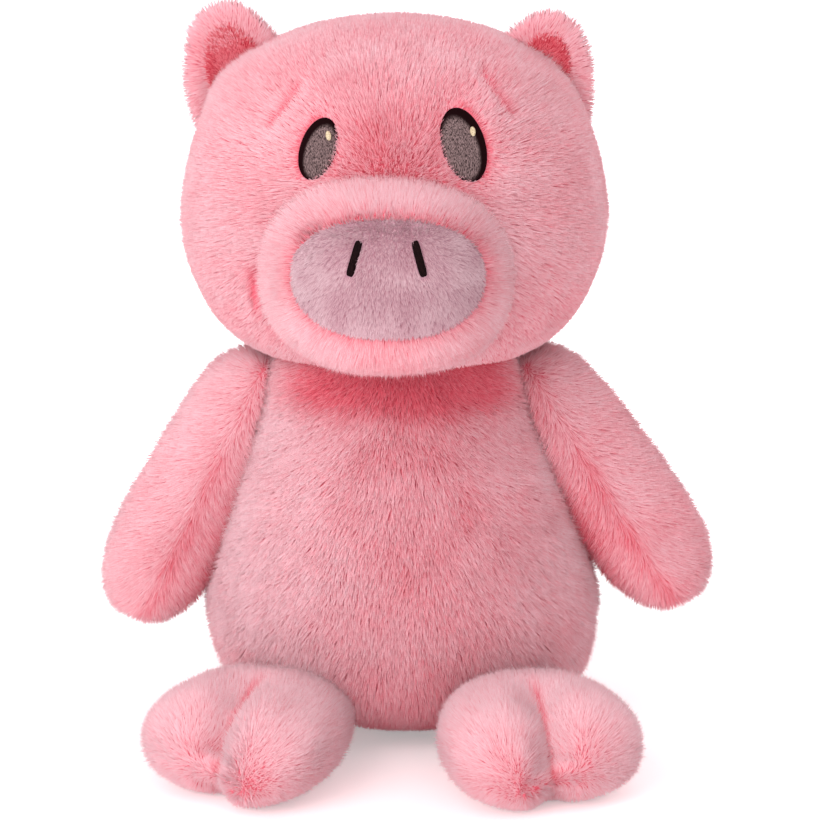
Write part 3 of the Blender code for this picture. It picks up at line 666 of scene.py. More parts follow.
def ear_rings(front, back, size_share, rise=0.0, rings=20, segments=72):
    """Rings over the front of an ear's flap from its middle to its rim, then over its back."""
    turns = np.linspace(0.0, 2.0 * math.pi, segments, endpoint=False)
    rows = []
    for surface, shares in ((front, np.linspace(0.04, 1.0, rings)), (back, np.linspace(1.0, 0.04, rings))):
        for share in shares:
            x, z = unit_outline(turns, EAR_ROUNDNESS)
            narrowing = 1.0 - EAR_TAPER_SHARE * z * share
            across = EAR_WIDTH / 2 * size_share * share * x * narrowing
            up = rise + EAR_LENGTH / 2 * size_share * share * z
            rows.append(np.stack([across, surface(ear_share(across, up)), up], axis=1))
    return np.array(rows)


def ear_share(x, z):
    """How far out on an ear's flap points lie, from 0 at its middle to 1 at its rim."""
    up = z / (EAR_LENGTH / 2)
    across = x / (EAR_WIDTH / 2 * (1.0 - EAR_TAPER_SHARE * up))
    return (abs(across) ** EAR_ROUNDNESS + abs(up) ** EAR_ROUNDNESS) ** (1.0 / EAR_ROUNDNESS)


def lining_share(x, z):
    """How far out on an ear's lining points lie, from 0 at its middle to 1 at its edge."""
    up = (z - LINING_RISE) / (EAR_LENGTH / 2 * LINING_SHARE)
    across = x / (EAR_WIDTH / 2 * LINING_SHARE * (1.0 - EAR_TAPER_SHARE * up))
    return (abs(across) ** EAR_ROUNDNESS + abs(up) ** EAR_ROUNDNESS) ** (1.0 / EAR_ROUNDNESS)


def ear_front_at(share):
    return EAR_HOLLOW * (1.0 - share**2) - EAR_THICKNESS / 2 * (1.0 - share**4)


def ear_back_at(share):
    return EAR_HOLLOW * (1.0 - share**2) + EAR_THICKNESS / 2 * (1.0 - 0.7 * share**4)


def ear_skin(side):
    bm = closed_mesh(ear_rings(ear_front_at, ear_back_at, 1.0))
    return skin_object(bm, "ear_skin_" + side, ear_frame(side))


def lining_skin(side):
    def back(share):
        return ear_front_at(share) - GAP

    def front(share):
        return back(share) - LINING_THICKNESS

    bm = closed_mesh(ear_rings(front, back, LINING_SHARE, LINING_RISE))
    return skin_object(bm, "ear_lining_skin_" + side, ear_frame(side), LINING_SKIN)


def tail_path(share):
    turn = 2.0 * math.pi * TAIL_TURNS * share
    opening = TAIL_CURL / 2 * float(ramp(np.array(share), 0.10, 0.50))
    start_y = float(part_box("tail")[0].y)
    return Vector((opening * math.sin(turn), start_y + TAIL_REACH * share, TAIL_HEIGHT + opening * (1 - math.cos(turn))))


def tail_skin():
    rings = []
    for i in range(49):
        share = i / 48
        ahead = tail_path(min(share + 0.01, 1.0)) - tail_path(max(share - 0.01, 0.0))
        facing = ahead.to_track_quat("Z", "Y").to_matrix()
        radius = TAIL_DIAMETER / 2 * (1.0 - 0.45 * share) * math.sqrt(max(1.0 - share**12, 0.05))
        turns = np.linspace(0.0, 2.0 * math.pi, 24, endpoint=False)
        circle = np.stack([radius * np.cos(turns), radius * np.sin(turns), np.zeros(24)], axis=1)
        rings.append(turned(circle, facing) + np.array(tail_path(share)))
    return skin_object(closed_mesh(np.array(rings)), "tail_skin", Matrix())


# Pile


def surface_of(obj):
    """Corners, corner normals and areas of a skin's triangles."""
    mesh = obj.data
    mesh.calc_loop_triangles()
    points = np.empty(len(mesh.vertices) * 3)
    mesh.vertices.foreach_get("co", points)
    normals = np.empty(len(mesh.vertices) * 3)
    mesh.vertices.foreach_get("normal", normals)
    corners = np.empty(len(mesh.loop_triangles) * 3, dtype=np.int32)
    mesh.loop_triangles.foreach_get("vertices", corners)
    points, normals, corners = points.reshape(-1, 3), normals.reshape(-1, 3), corners.reshape(-1, 3)
    a, b, c = (points[corners[:, k]] for k in range(3))
    areas = np.linalg.norm(np.cross(b - a, c - a), axis=1) / 2
    return points, normals, corners, areas


def scattered_roots(obj, per_mm2, rng):
    """Roots spread evenly over a skin, each with its normal."""
    points, normals, corners, areas = surface_of(obj)
    count = int(areas.sum() * 1e6 * per_mm2)
    total = np.cumsum(areas)
    chosen = np.searchsorted(total, (np.arange(count) + rng.random(count)) / count * total[-1])
    chosen = np.minimum(chosen, len(areas) - 1)
    u, v = rng.random(count), rng.random(count)
    over = u + v > 1.0
    u[over], v[over] = 1.0 - u[over], 1.0 - v[over]
    weights = np.stack([1.0 - u - v, u, v], axis=1)[:, :, None]
    roots = (points[corners[chosen]] * weights).sum(axis=1)
    facing = unit((normals[corners[chosen]] * weights).sum(axis=1))
    return roots, facing


def grow(name, skin, body, material, seed, comb, per_mm2=PILE_PER_MM2, length=PILE_LENGTH, lean_deg=52.0,
         width=PILE_WIDTH, keep=None, trim=None, tint=None, swell=None, tuft=TUFT_SIZE, gather=0.34, wander=0.3,
         guard=0.14, ground=None):
    """Grows pile on a skin, as tapered strands in pieces that ride on the body.

    comb gives the way that the pile is brushed at each root, keep where it grows, trim the share of its length there,
    and tint how deep its colour is, from 0 to 1, which in places is painted shade or painted light. The pile is also
    painted deeper, as shade, where its skin faces away from LIT_FROM. gather is how far tips draw together in tufts,
    and guard is the part of the strands that stand up longer and apart from the rest.
    """
    rng = np.random.default_rng(seed)
    roots, normals = scattered_roots(skin, per_mm2, rng)
    if keep is not None:
        kept = keep(roots, normals) > rng.random(len(roots))
        roots, normals = roots[kept], normals[kept]
    count = len(roots)
    if swell is not None:
        roots = roots + normals * swell(roots)[:, None]
    brushed = comb(roots, normals) + wander * np.stack([noise(roots, 0.009, seed + k) for k in range(3)], axis=1)
    brushed += 0.5 * wander * np.stack([noise(roots, 0.003, seed + 7 + k) for k in range(3)], axis=1)
    brushed = brushed - normals * (brushed * normals).sum(axis=1, keepdims=True)
    strength = np.minimum(np.linalg.norm(brushed, axis=1, keepdims=True), 1.0)
    brushed = unit(brushed)
    long = length * (1.0 + 0.22 * rng.standard_normal(count).clip(-2.0, 2.0) * 0.6)
    if trim is not None:
        long = long * trim(roots, normals)
    lean = math.radians(lean_deg) * strength[:, 0] * (1.0 + 0.25 * noise(roots, 0.006, seed + 11))
    lean = lean + 0.14 * rng.standard_normal(count)
    stray = rng.standard_normal((count, 3)) * 0.10
    upright = rng.random(count) < guard
    lean = np.where(upright, 0.5 * lean, lean)
    long = np.where(upright, 1.12 * long, long)
    early, late = (lean * 0.55)[:, None], (lean * 1.35)[:, None]
    rise = unit(normals * np.cos(early) + brushed * np.sin(early) + stray)
    fall = unit(normals * np.cos(late) + brushed * np.sin(late) + stray)
    middles = roots + rise * (long * 0.5)[:, None]
    tips = middles + fall * (long * 0.5)[:, None]
    if gather > 0.0:
        group = tufts(roots, tuft, seed + 20)
        members = np.bincount(group)[:, None]
        tip_of = np.stack([np.bincount(group, tips[:, k]) for k in range(3)], axis=1) / members
        middle_of = np.stack([np.bincount(group, middles[:, k]) for k in range(3)], axis=1) / members
        pull = (gather * (0.5 + 0.5 * rng.random(count)) * np.where(upright, 0.3, 1.0))[:, None]
        tips = tips + pull * (tip_of[group] - tips)
        middles = middles + 0.35 * pull * (middle_of[group] - middles)
    roots = roots - normals * GAP
    floor = FLOOR_CLEARANCE if ground is None else FLOOR_CLEARANCE + ground(roots)
    middles[:, 2] = np.maximum(middles[:, 2], floor)
    tips[:, 2] = np.maximum(tips[:, 2], floor)
    tints_and_shade = np.full(count, 0.5) if tint is None else tint(roots, normals)
    # Painted shade: deeper where the skin faces away from LIT_FROM.
    tints_and_shade = tints_and_shade + SHADE_DEPTH * ramp(-(normals @ np.array(LIT_FROM)), -0.6, 0.5)
    tints_and_shade = np.clip(tints_and_shade + 0.16 * rng.standard_normal(count), 0.02, 0.98)
    along = unit(tips - roots)
    across = unit(np.cross(along, normals))
    spin = 2.0 * math.pi * rng.random(count)[:, None]
    across = across * np.cos(spin) + np.cross(along, across) * np.sin(spin)
    shading = unit(normals * np.where(normals[:, 2:] < 0.0, np.array((1.0, 1.0, UNDERSIDE_SHADING)), 1.0))
    mixed = rng.permutation(count)
    radius = (width * (0.75 + 0.5 * rng.random(count)))[:, None]
    for piece, start in enumerate(range(0, count, STRANDS_IN_A_PIECE)):
        some = mixed[start:start + STRANDS_IN_A_PIECE]
        strands = (roots[some], tips[some], across[some] * radius[some], shading[some], tints_and_shade[some])
        made = strand_object("%s_%d" % (name, piece + 1), material, *strands)
        made.visible_shadow = piece % 2 == 1
        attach(made, body)


def strand_object(name, material, roots, tips, sides, shading, tints_and_shade):
    """One mesh of tapered strands, each with three points round its root and one at its tip."""
    count = len(roots)
    along = unit(tips - roots)
    beside = np.cross(along, sides)
    ring = [math.cos(turn) * sides + math.sin(turn) * beside for turn in THIRDS]
    points = np.stack([roots + ring[0], roots + ring[1], roots + ring[2], tips], axis=1)
    corners = (np.array((0, 1, 3, 1, 2, 3, 2, 0, 3)) + 4 * np.arange(count)[:, None]).ravel().astype(np.int32)
    mesh = bpy.data.meshes.new(name)
    mesh.vertices.add(4 * count)
    mesh.vertices.foreach_set("co", points.astype(np.float32).ravel())
    mesh.loops.add(9 * count)
    mesh.loops.foreach_set("vertex_index", corners)
    mesh.polygons.add(3 * count)
    mesh.polygons.foreach_set("loop_start", np.arange(0, 9 * count, 3, dtype=np.int32))
    up = np.array((0.0, 0.0, 0.0, 1.0))[None, :, None] + np.zeros((count, 1, 1))
    spread = np.array((-1.0, 0.0, 1.0, 0.0))[None, :, None] * 0.004
    places = np.concatenate([up * 0.98 + 0.01, tints_and_shade[:, None, None] + spread], axis=2).reshape(-1, 2)
    layer = mesh.uv_layers.new(name="OFBake")
    layer.uv.foreach_set("vector", places[corners].astype(np.float32).ravel())
    mesh.update(calc_edges=True)
    mesh.shade_smooth()
    facing = [unit(shading + STRAND_ROUNDING * unit(side)) for side in ring] + [shading]
    mesh.normals_split_custom_set_from_vertices(np.stack(facing, axis=1).reshape(-1, 3).tolist())
    return new_object(name, mesh, material)


def line_distance(x, z, start, end):
    """How far each point is from a short line on the face, and the side it lies on."""
    run = np.array(end) - np.array(start)
    length = np.linalg.norm(run)
    run = run / length
    offset = np.stack([x - start[0], z - start[1]], axis=1)
    part = np.clip(offset @ run, 0.0, length)
    away = offset - part[:, None] * run
    return np.linalg.norm(away, axis=1), away


def eye_place(side, x, z):
    """Where points of the face lie on an eye, with the eye's outline at a distance of 1."""
    tilt = math.radians(-SIDES[side] * EYE_TILT_DEG)
    from_x, from_z = x - SIDES[side] * EYE_OUT[side], z - EYE_UP[side]
    across = from_x * math.cos(tilt) - from_z * math.sin(tilt)
    up = from_x * math.sin(tilt) + from_z * math.cos(tilt)
    return across / (EYE_WIDTH[side] / 2), up / (EYE_HEIGHT[side] / 2)


def brow_place(side, x, z):
    """Which side of a brow tuck points are on, positive away from the eye, and how far they are from it."""
    distance, away = line_distance(x, z, *brow_line(side))
    return away[:, 0] * SIDES[side] + away[:, 1], distance


def brow_line(side):
    tilt = math.radians(-SIDES[side] * BROW_TILT_DEG)
    middle = np.array((SIDES[side] * BROW_SPREAD / 2, BROW_UP[side]))
    half = np.array((math.sin(tilt), math.cos(tilt))) * BROW_LENGTH / 2
    return middle - half, middle + half


def snout_place(x, z):
    return x / (SNOUT_WIDTH / 2), (z - SNOUT_UP) / (SNOUT_HEIGHT / 2)


def snout_distance(x, z):
    across, up = snout_place(x, z)
    return (abs(across) ** SNOUT_ROUNDNESS + abs(up) ** SNOUT_ROUNDNESS) ** (1.0 / SNOUT_ROUNDNESS)


def in_neck(points):
    return moved(points, neck_frame().inverted())


def head_comb(roots, normals):
    """Out from between the eyes, back over the crown, and down the back of the head."""
    local = in_neck(roots)
    x, y, z = local.T
    out = np.stack([x / 0.05, np.full(len(x), 0.9), (z - 0.075) / 0.06], axis=1)
    back = ramp(y, 0.0, 0.04)[:, None]
    brushed = unit(out) * (1.0 - back) + np.array((0.0, 0.2, -1.0)) * back
    centre = np.minimum(np.hypot(x / 0.03, (z - 0.075) / 0.03), 1.0)[:, None]
    brushed = brushed * (0.6 + 0.4 * np.maximum(centre, back))
    for side in SIDES:
        across, up = eye_place(side, x, z)
        near = np.exp(-((np.maximum(np.hypot(across, up) - 1.0, 0.0) / 0.4) ** 2)) * (y < 0.0)
        near = near * ramp(SIDES[side] * across + 0.4 * up, -0.5, 0.5)
        away = unit(np.stack([across, np.zeros(len(x)), up], axis=1))
        brushed = brushed + away * (0.8 * near)[:, None]
        past, distance = brow_place(side, x, z)
        near = np.exp(-((distance / 0.004) ** 2)) * (y < 0.0)
        away = np.array((SIDES[side] * math.cos(math.radians(BROW_TILT_DEG)), 0.0, 0.6))
        brushed = brushed + away * (0.5 * np.tanh(past / 0.003) * near)[:, None]
    return turned(brushed, neck_frame())


def head_keep(roots, normals):
    local = in_neck(roots)
    x, y, z = local.T
    keep = (muzzle_level(local) > 0.9).astype(float)
    keep *= z > GAP + 0.0002
    for side in SIDES:
        across, up = eye_place(side, x, z)
        keep *= (np.hypot(across, up) > 0.98) | (y > 0.0)
    return keep


def cheek_fold(x, y, z):
    """How near points are to the fold in the left cheek, beside the muzzle, from 0 to 1."""
    from_x, from_z = x - FOLD_MIDDLE[0], z - FOLD_MIDDLE[1]
    return np.exp(-((from_x / FOLD_HALF_WIDTH) ** 2) - (from_z / FOLD_HALF_LENGTH) ** 2) * (y < 0.0)


def head_swell(roots):
    """A tuck above each eye, a crease with a soft ridge on the side of the eye, and the fold in the left cheek."""
    x, y, z = in_neck(roots).T
    total = -FOLD_DEPTH * cheek_fold(x, y, z)
    for side in SIDES:
        past, distance = brow_place(side, x, z)
        crease = np.exp(-((distance / 0.0016) ** 2))
        beside = np.exp(-(((distance - BROW_RIDGE_AWAY) / 0.0018) ** 2)) * (past < 0.0)
        total += (BROW_RIDGE * beside - BROW_CREASE * crease) * (y < 0.0)
    return total


def head_trim(roots, normals):
    """Shorter pile by the eyes and the brow tucks, at the neck, and where the head turns from its front to its sides."""
    x, y, z = in_neck(roots).T
    share = np.ones(len(x))
    for side in SIDES:
        across, up = eye_place(side, x, z)
        near = np.exp(-((np.maximum(np.hypot(across, up) - 1.0, 0.0) / 0.35) ** 2)) * (y < 0.0)
        share *= 1.0 - 0.45 * near
        _, distance = brow_place(side, x, z)
        share *= 1.0 - 0.25 * np.exp(-((distance / 0.002) ** 2)) * (y < 0.0)
    up = z - HEAD_ABOVE_NECK
    corner = 2.0 * abs(x) / (HEAD_WIDTH / 2) * np.where(up > 0.0, up / HEAD_RISE, -1.3 * up / HEAD_DROP)
    corner = np.clip(corner, 0.0, 1.0)
    for side, sign in SIDES.items():
        near_ear = ((x - sign * EAR_OUT[side]) / 0.018) ** 2 + ((z - EAR_UP[side]) / 0.016) ** 2
        corner = corner * (1.0 - np.exp(-near_ear))
    crown = ramp(up, 0.060, 0.074) * np.exp(-((x / 0.035) ** 2))
    return share * (1.0 - 0.6 * corner) * (1.0 - 0.35 * crown) * (0.55 + 0.45 * ramp(z, 0.0, 0.01))


def head_tint_and_shading(roots, normals):
    """Redder between the eyes, with painted shade deepening the left cheek's fold, the brow creases, each eye's outer
    side and the head beside and under the lower muzzle, and painted light paling the ridge beside each brow crease.
    """
    local = in_neck(roots)
    x, y, z = local.T
    front = y < 0.0
    middle = np.exp(-((x / 0.024) ** 2) - ((z - 0.088) / 0.02) ** 2)
    # Painted shade: deeper in the fold of the left cheek.
    total = 0.8 * cheek_fold(x, y, z) + 0.24 + 0.16 * noise(roots, 0.012, 3) + 0.3 * middle * front
    for side in SIDES:
        past, distance = brow_place(side, x, z)
        patchy = 0.55 + 0.45 * noise(roots, 0.006, 31)
        # Painted shade: deeper in each brow crease. Painted light: paler on the ridge beside it.
        total += (0.5 * patchy * np.exp(-((distance / 0.0017) ** 2)) - 0.2 * ramp(-past, 0.0, 0.003) *
                  np.exp(-(((distance - BROW_RIDGE_AWAY) / 0.002) ** 2))) * front
        across, up = eye_place(side, x, z)
        beside = np.maximum(np.hypot(across, up) - 1.0, 0.0)
        # Painted shade: deeper beside each eye's outer side.
        total += 0.4 * np.exp(-((beside / 0.12) ** 2)) * ramp(SIDES[side] * across, -0.2, 0.6) * front
    # Painted shade: deeper beside and under the lower muzzle.
    total += 0.5 * np.exp(-(np.maximum(muzzle_level(local) - 1.0, 0.0) / 0.25)) * ramp(-z, -0.05, -0.02) * front
    return total


def muzzle_comb(roots, normals):
    x, y, z = in_neck(roots).T
    across, up = snout_place(x, z)
    out = unit(np.stack([across, np.full(len(x), 0.25), up * 0.8], axis=1))
    over_snout = (1.0 - ramp(snout_distance(x, z), 1.02, 1.2)) * ramp(up, 0.2, 0.7) * (y < MUZZLE_MIDDLE.y)
    return turned(out * (1.0 - 1.6 * over_snout)[:, None], neck_frame())


def muzzle_keep(roots, normals):
    local = in_neck(roots)
    x, y, z = local.T
    front = y < MUZZLE_MIDDLE.y
    return (head_level(local) > 0.97) * ((snout_distance(x, z) > 1.0) | ~front)


def muzzle_trim(roots, normals):
    local = in_neck(roots)
    x, y, z = local.T
    return (0.65 + 0.35 * ramp(snout_distance(x, z), 1.0, 1.2)) * (0.75 + 0.25 * ramp(head_level(local), 1.0, 1.25))


def muzzle_tint_and_shade(roots, normals):
    x, y, z = in_neck(roots).T
    low = ramp(-z, -0.03, -0.008)
    groove = np.exp(-(((snout_distance(x, z) - 1.0) / 0.07) ** 2)) * (y < MUZZLE_MIDDLE.y)
    # Painted shade: deeper low on the muzzle and in the groove round the snout.
    return 0.12 + 0.14 * noise(roots, 0.012, 5) + 0.22 * low + 0.3 * groove


def body_comb(roots, normals):
    """Down and outward from the middle line, more sideways under the chin."""
    x, y, z = roots.T
    outward = x / 0.06 * (0.5 + 0.9 * ramp(z, 0.07, 0.13))
    return unit(np.stack([outward, 0.3 * y / 0.05, np.full(len(x), -0.9)], axis=1))


def body_keep(roots, normals):
    return (roots[:, 2] < BODY_HEIGHT - 0.0003).astype(float) * (roots[:, 2] > 0.0005)


def body_trim(roots, normals):
    x, y, z = roots.T
    under = ramp(-z, -0.024, -0.008) * ramp(-y, 0.0, 0.02)
    return (1.0 - 0.45 * under) * (0.6 + 0.4 * ramp(-z, -BODY_HEIGHT, 0.012 - BODY_HEIGHT))


def body_ground(roots):
    """How high the pile under the belly ends above the floor, between the legs."""
    x, y, z = roots.T
    rise = np.minimum(0.002 + 0.006 * (x / 0.02) ** 2, 0.010)
    return rise * ramp(-y, 0.0, 0.02) * ramp(-abs(x), -0.045, -0.03)


def body_tint_and_shading(roots, normals):
    x, y, z = roots.T
    front = ramp(-y, -0.01, 0.03)
    middle = np.exp(-(((x - 0.008) / 0.042) ** 2)) * front
    chin = ramp(z, 0.128, 0.145) * ramp(-y, 0.006, 0.034)
    low = ramp(-z, -0.04, -0.008) * front
    left = ramp(-x, 0.02, 0.05) * ramp(z, 0.03, 0.06)
    # Painted shade deepens the pile under the chin and low on the front, and painted light makes the left side paler.
    return 0.14 + 0.14 * noise(roots, 0.012, 9) + 0.30 * middle + 0.8 * chin + 0.1 * low - 0.15 * left


def arm_comb(side):
    """Down the arm, and to both sides of a parting along its middle."""

    def comb(roots, normals):
        local = moved(roots, shoulder_frame(side).inverted())
        x, y, z = local.T
        middle = SIDES[side] * (ARM_OUTSET[side] + ARM_PARTING)
        sideways = np.tanh((x - middle) / 0.005)
        front = ramp(-y, 0.0, 0.01)
        down = np.stack([sideways * (0.3 + 0.7 * front), np.zeros(len(x)), np.full(len(x), -0.75)], axis=1)
        return turned(unit(down), shoulder_frame(side))

    return comb


def arm_seam(side, roots):
    """How far points are outward of the arm's flat side, which lies on the body, and from the shoulder's seam."""
    outward = np.array(JOINTS["arm_swing_" + side]["axis"]) * -SIDES[side]
    from_place = roots - np.array(joint_place("arm_swing_" + side))
    return from_place @ outward, np.linalg.norm(from_place, axis=1)


def arm_keep(side):
    def keep(roots, normals):
        out, away = arm_seam(side, roots)
        return ((out > 0.0002) | (away > ARM_SEAM_RADIUS)).astype(float)

    return keep


def arm_trim(side):
    def trim(roots, normals):
        out, away = arm_seam(side, roots)
        return np.where(out > 0.0002, 1.0, ARM_SEAM_PILE)

    return trim


def arm_tint_and_shade(side):
    """Paler on the outer half, redder along the parting, and deeper on the inner half, which is painted shade between
    the arm and the body. The right arm is painted deeper all over, as shade on the side away from the light.
    """

    def tint(roots, normals):
        x, y, z = moved(roots, shoulder_frame(side).inverted()).T
        across = SIDES[side] * x - ARM_OUTSET[side] - ARM_PARTING
        front = ramp(-y, 0.0, 0.01)
        total = ARM_TINT_AND_SHADE[side] + 0.16 * noise(roots, 0.012, 13) + 0.22 * ramp(-across, -0.004, 0.006) * front
        total += 0.3 * np.exp(-((across / 0.0022) ** 2)) * front * ramp(-z, 0.01, 0.03)
        # Painted shade: deeper on the inner half, towards the body.
        return total + 0.5 * ramp(-across, 0.006, 0.016)

    return tint


def tail_tint(roots, normals):
    return 0.3 + 0.1 * noise(roots, 0.004, 19)


def leg_comb(side):
    """Up the toes' fronts and back over their tops, and away from the cleft."""

    def comb(roots, normals):
        local = moved(roots, hip_frame(side).inverted())
        x, y, z = local.T
        sideways = np.tanh(x / 0.006) * ramp(z, 0.02, 0.05) * 0.5 + x / 0.035 * 0.5
        back = -0.3 - 1.0 * ramp(normals[:, 2], 0.1, 0.8)
        brushed = np.stack([sideways, 1.0 + 0.0 * x, back], axis=1)
        return turned(unit(brushed), hip_frame(side)) * FOOT_BRUSHING

    return comb


def leg_keep(side):
    def keep(roots, normals):
        local = moved(roots, hip_frame(side).inverted())
        return (local[:, 2] > 0.0003) * (roots[:, 2] > 0.0005)

    return keep


def leg_trim(roots, normals):
    return 0.45 + 0.55 * ramp(roots[:, 2], 0.0, 0.016)


def leg_tint_and_shade(side):
    def tint(roots, normals):
        x, y, z = moved(roots, hip_frame(side).inverted()).T
        # Painted shade: redder along the toe cleft.
        cleft_line = np.exp(-((x / 0.0022) ** 2)) * ramp(z, 0.028, 0.045) * ramp(y, -0.012, -0.004)
        return 0.03 + 0.12 * noise(roots, 0.012, 17) + 0.8 * cleft_line

    return tint


def ear_comb(side):
    def comb(roots, normals):
        x, y, z = moved(roots, ear_frame(side).inverted()).T
        out = np.stack([x / 0.018, 0.15 + 0.0 * x, z / 0.026 + 0.25], axis=1)
        return turned(unit(out), ear_frame(side))

    return comb


def ear_keep(side):
    def keep(roots, normals):
        local = moved(roots, ear_frame(side).inverted())
        x, y, z = local.T
        in_front = turned(normals, ear_frame(side).inverted())[:, 1] < 0.0
        covered = np.maximum(ramp(lining_share(x, z), 0.72, 1.0), ramp(z, LINING_TOP[side] - 0.002, LINING_TOP[side] + 0.002))
        return (head_level(in_neck(roots)) > 0.97) * np.where(in_front, covered, 1.0)

    return keep


def ear_tint(roots, normals):
    return 0.22 + 0.14 * noise(roots, 0.01, 21)


def lining_comb(side):
    def comb(roots, normals):
        x, y, z = moved(roots, ear_frame(side).inverted()).T
        out = np.stack([x / 0.018, 0.0 * x, z / 0.026 + 0.6], axis=1)
        return turned(unit(out), ear_frame(side))

    return comb


def lining_tint(side):
    """Deeper towards the lining's edge."""

    def tint(roots, normals):
        x, y, z = moved(roots, ear_frame(side).inverted()).T
        return 0.05 + 0.75 * ramp(lining_share(x, z), 0.45, 0.8)

    return tint


def lining_keep(roots, normals):
    return (normals[:, 1] < 0.0) * (head_level(in_neck(roots)) > 1.0)


def tail_comb(roots, normals):
    return np.array((0.0, 1.0, -0.3)) + 0.0 * roots


def snout_comb(roots, normals):
    x, y, z = in_neck(roots).T
    return turned(unit(np.stack([0.5 * x / 0.035, 0.0 * x, -1.0 + 0.0 * x], axis=1)), neck_frame())


def snout_keep(roots, normals):
    x, y, z = in_neck(roots).T
    keep = (normals[:, 1] < 0.2) * (snout_distance(x, z) < 1.0)
    for sign in SIDES.values():
        along, across = nostril_place(sign, x, z)
        keep = keep * ~((abs(along) < NOSTRIL_LENGTH / 2 + 0.0002) & (abs(across) < NOSTRIL_WIDTH / 2 + 0.0002))
    return keep


def snout_trim(roots, normals):
    x, y, z = in_neck(roots).T
    return 1.0 - 0.4 * ramp(snout_distance(x, z), 0.85, 1.0)


def snout_tint_and_light(roots, normals):
    x, y, z = in_neck(roots).T
    middle = np.exp(-((x / 0.02) ** 2) - ((z - SNOUT_UP + 0.008) / 0.008) ** 2)
    # Painted light: paler towards the left side, where the light falls.
    return 0.74 + 0.35 * noise(roots, 0.006, 25) + 0.25 * middle - 0.25 * ramp(-x, 0.02, 0.036)


def nostril_place(sign, x, z):
    """How far points lie along and across a nostril's bar."""
    tilt = math.radians(-sign * NOSTRIL_TILT_DEG)
    from_x, from_z = x - sign * NOSTRIL_SPREAD / 2, z - SNOUT_UP - NOSTRIL_RISE
    return from_x * math.sin(tilt) + from_z * math.cos(tilt), from_x * math.cos(tilt) - from_z * math.sin(tilt)


# Thread and small pieces


def muzzle_front(x, z):
    """The y of the muzzle's front at x and a height z above the neck seam."""
    rest = 1.0 - abs(x / (MUZZLE_WIDTH / 2)) ** MUZZLE_ROUNDNESS
    rest = rest - abs((z - MUZZLE_MIDDLE.z) / (MUZZLE_HEIGHT / 2)) ** MUZZLE_ROUNDNESS
    return MUZZLE_MIDDLE.y - MUZZLE_REACH * np.maximum(rest, 0.0) ** (1.0 / MUZZLE_ROUNDNESS)


def pad_object(name, outline, front, back, material, rings, segments):
    """A thin closed piece of the head between two surfaces, given by its outline in the neck's frame."""
    turns = np.linspace(0.0, 2.0 * math.pi, segments, endpoint=False)
    rows = []
    for surface, shares in ((front, np.linspace(0.02, 1.0, rings)), (back, np.linspace(1.0, 0.02, 6))):
        for share in shares:
            x, z = outline(share, turns)
            rows.append(np.stack([x, surface(x, z, share), z], axis=1))
    return skin_object(closed_mesh(np.array(rows)), name, neck_frame(), material)


def oval(centre_x, centre_z, width, height, tilt_deg=0.0, roundness=2.0):
    cosine, sine = math.cos(math.radians(tilt_deg)), math.sin(math.radians(tilt_deg))

    def outline(share, turns):
        x, z = unit_outline(turns, roundness)
        across, up = width / 2 * share * x, height / 2 * share * z
        return centre_x + across * cosine + up * sine, centre_z - across * sine + up * cosine

    return outline


def snout_piece():
    outline = oval(0.0, SNOUT_UP, SNOUT_WIDTH, SNOUT_HEIGHT, 0.0, SNOUT_ROUNDNESS)

    def front(x, z, share):
        return muzzle_front(x, z) - GAP - SNOUT_THICKNESS * (1.0 - 0.5 * share**4)

    def back(x, z, share):
        return muzzle_front(x, z) - GAP

    return pad_object("snout_cloth", outline, front, back, SNOUT_SKIN, 40, 120)


def nostril_piece(side):
    sign = SIDES[side]
    height = SNOUT_UP + NOSTRIL_RISE
    tilt = -sign * NOSTRIL_TILT_DEG
    outline = oval(sign * NOSTRIL_SPREAD / 2, height, NOSTRIL_WIDTH, NOSTRIL_LENGTH, tilt, 5.0)

    def front(x, z, share):
        along, _ = nostril_place(sign, x, z)
        rows = 0.00012 * np.cos(2.0 * math.pi * along / 0.00045)
        return muzzle_front(x, z) - GAP * 2 - SNOUT_THICKNESS - 0.0014 * np.sqrt(1.0 - 0.96 * share**2) + rows

    def back(x, z, share):
        return muzzle_front(x, z) - GAP * 2 - SNOUT_THICKNESS

    return pad_object("nostril_thread_" + side, outline, front, back, NOSTRIL_THREAD, 30, 160)


def eye_piece(side):
    tilt = -SIDES[side] * EYE_TILT_DEG
    outline = oval(SIDES[side] * EYE_OUT[side], EYE_UP[side], EYE_WIDTH[side], EYE_HEIGHT[side], tilt)

    def front(x, z, share):
        across, up = eye_place(side, x, z)
        rows = 0.00009 * np.cos(2.0 * math.pi * (up * EYE_HEIGHT[side] / 2 + 0.0004 * across) / 0.0005)
        return head_front(x, z) - GAP - EYE_DOME * np.sqrt(1.0 - 0.9 * share**2) + rows

    def back(x, z, share):
        return head_front(x, z) - GAP

    made = pad_object("eye_thread_" + side, outline, front, back, EYE_THREAD, 60, 160)
    points = np.empty(len(made.data.vertices) * 3)
    made.data.vertices.foreach_get("co", points)
    x, _, z = in_neck(points.reshape(-1, 3)).T
    across, up = eye_place(side, x, z)
    # Painted shade: the edge attribute is 1 on the eye's outer rim, which it darkens as the pile round it would shade
    # it.
    inner = np.hypot((across + SIDES[side] * EYE_SHADE_SHIFT) / EYE_SHADE_WIDTH, (up + 0.05) / EYE_SHADE_HEIGHT)
    edge = made.data.attributes.new("edge", "FLOAT", "POINT")
    edge.data.foreach_set("value", ramp(inner, 0.82, 1.04).astype(np.float32))
    return made


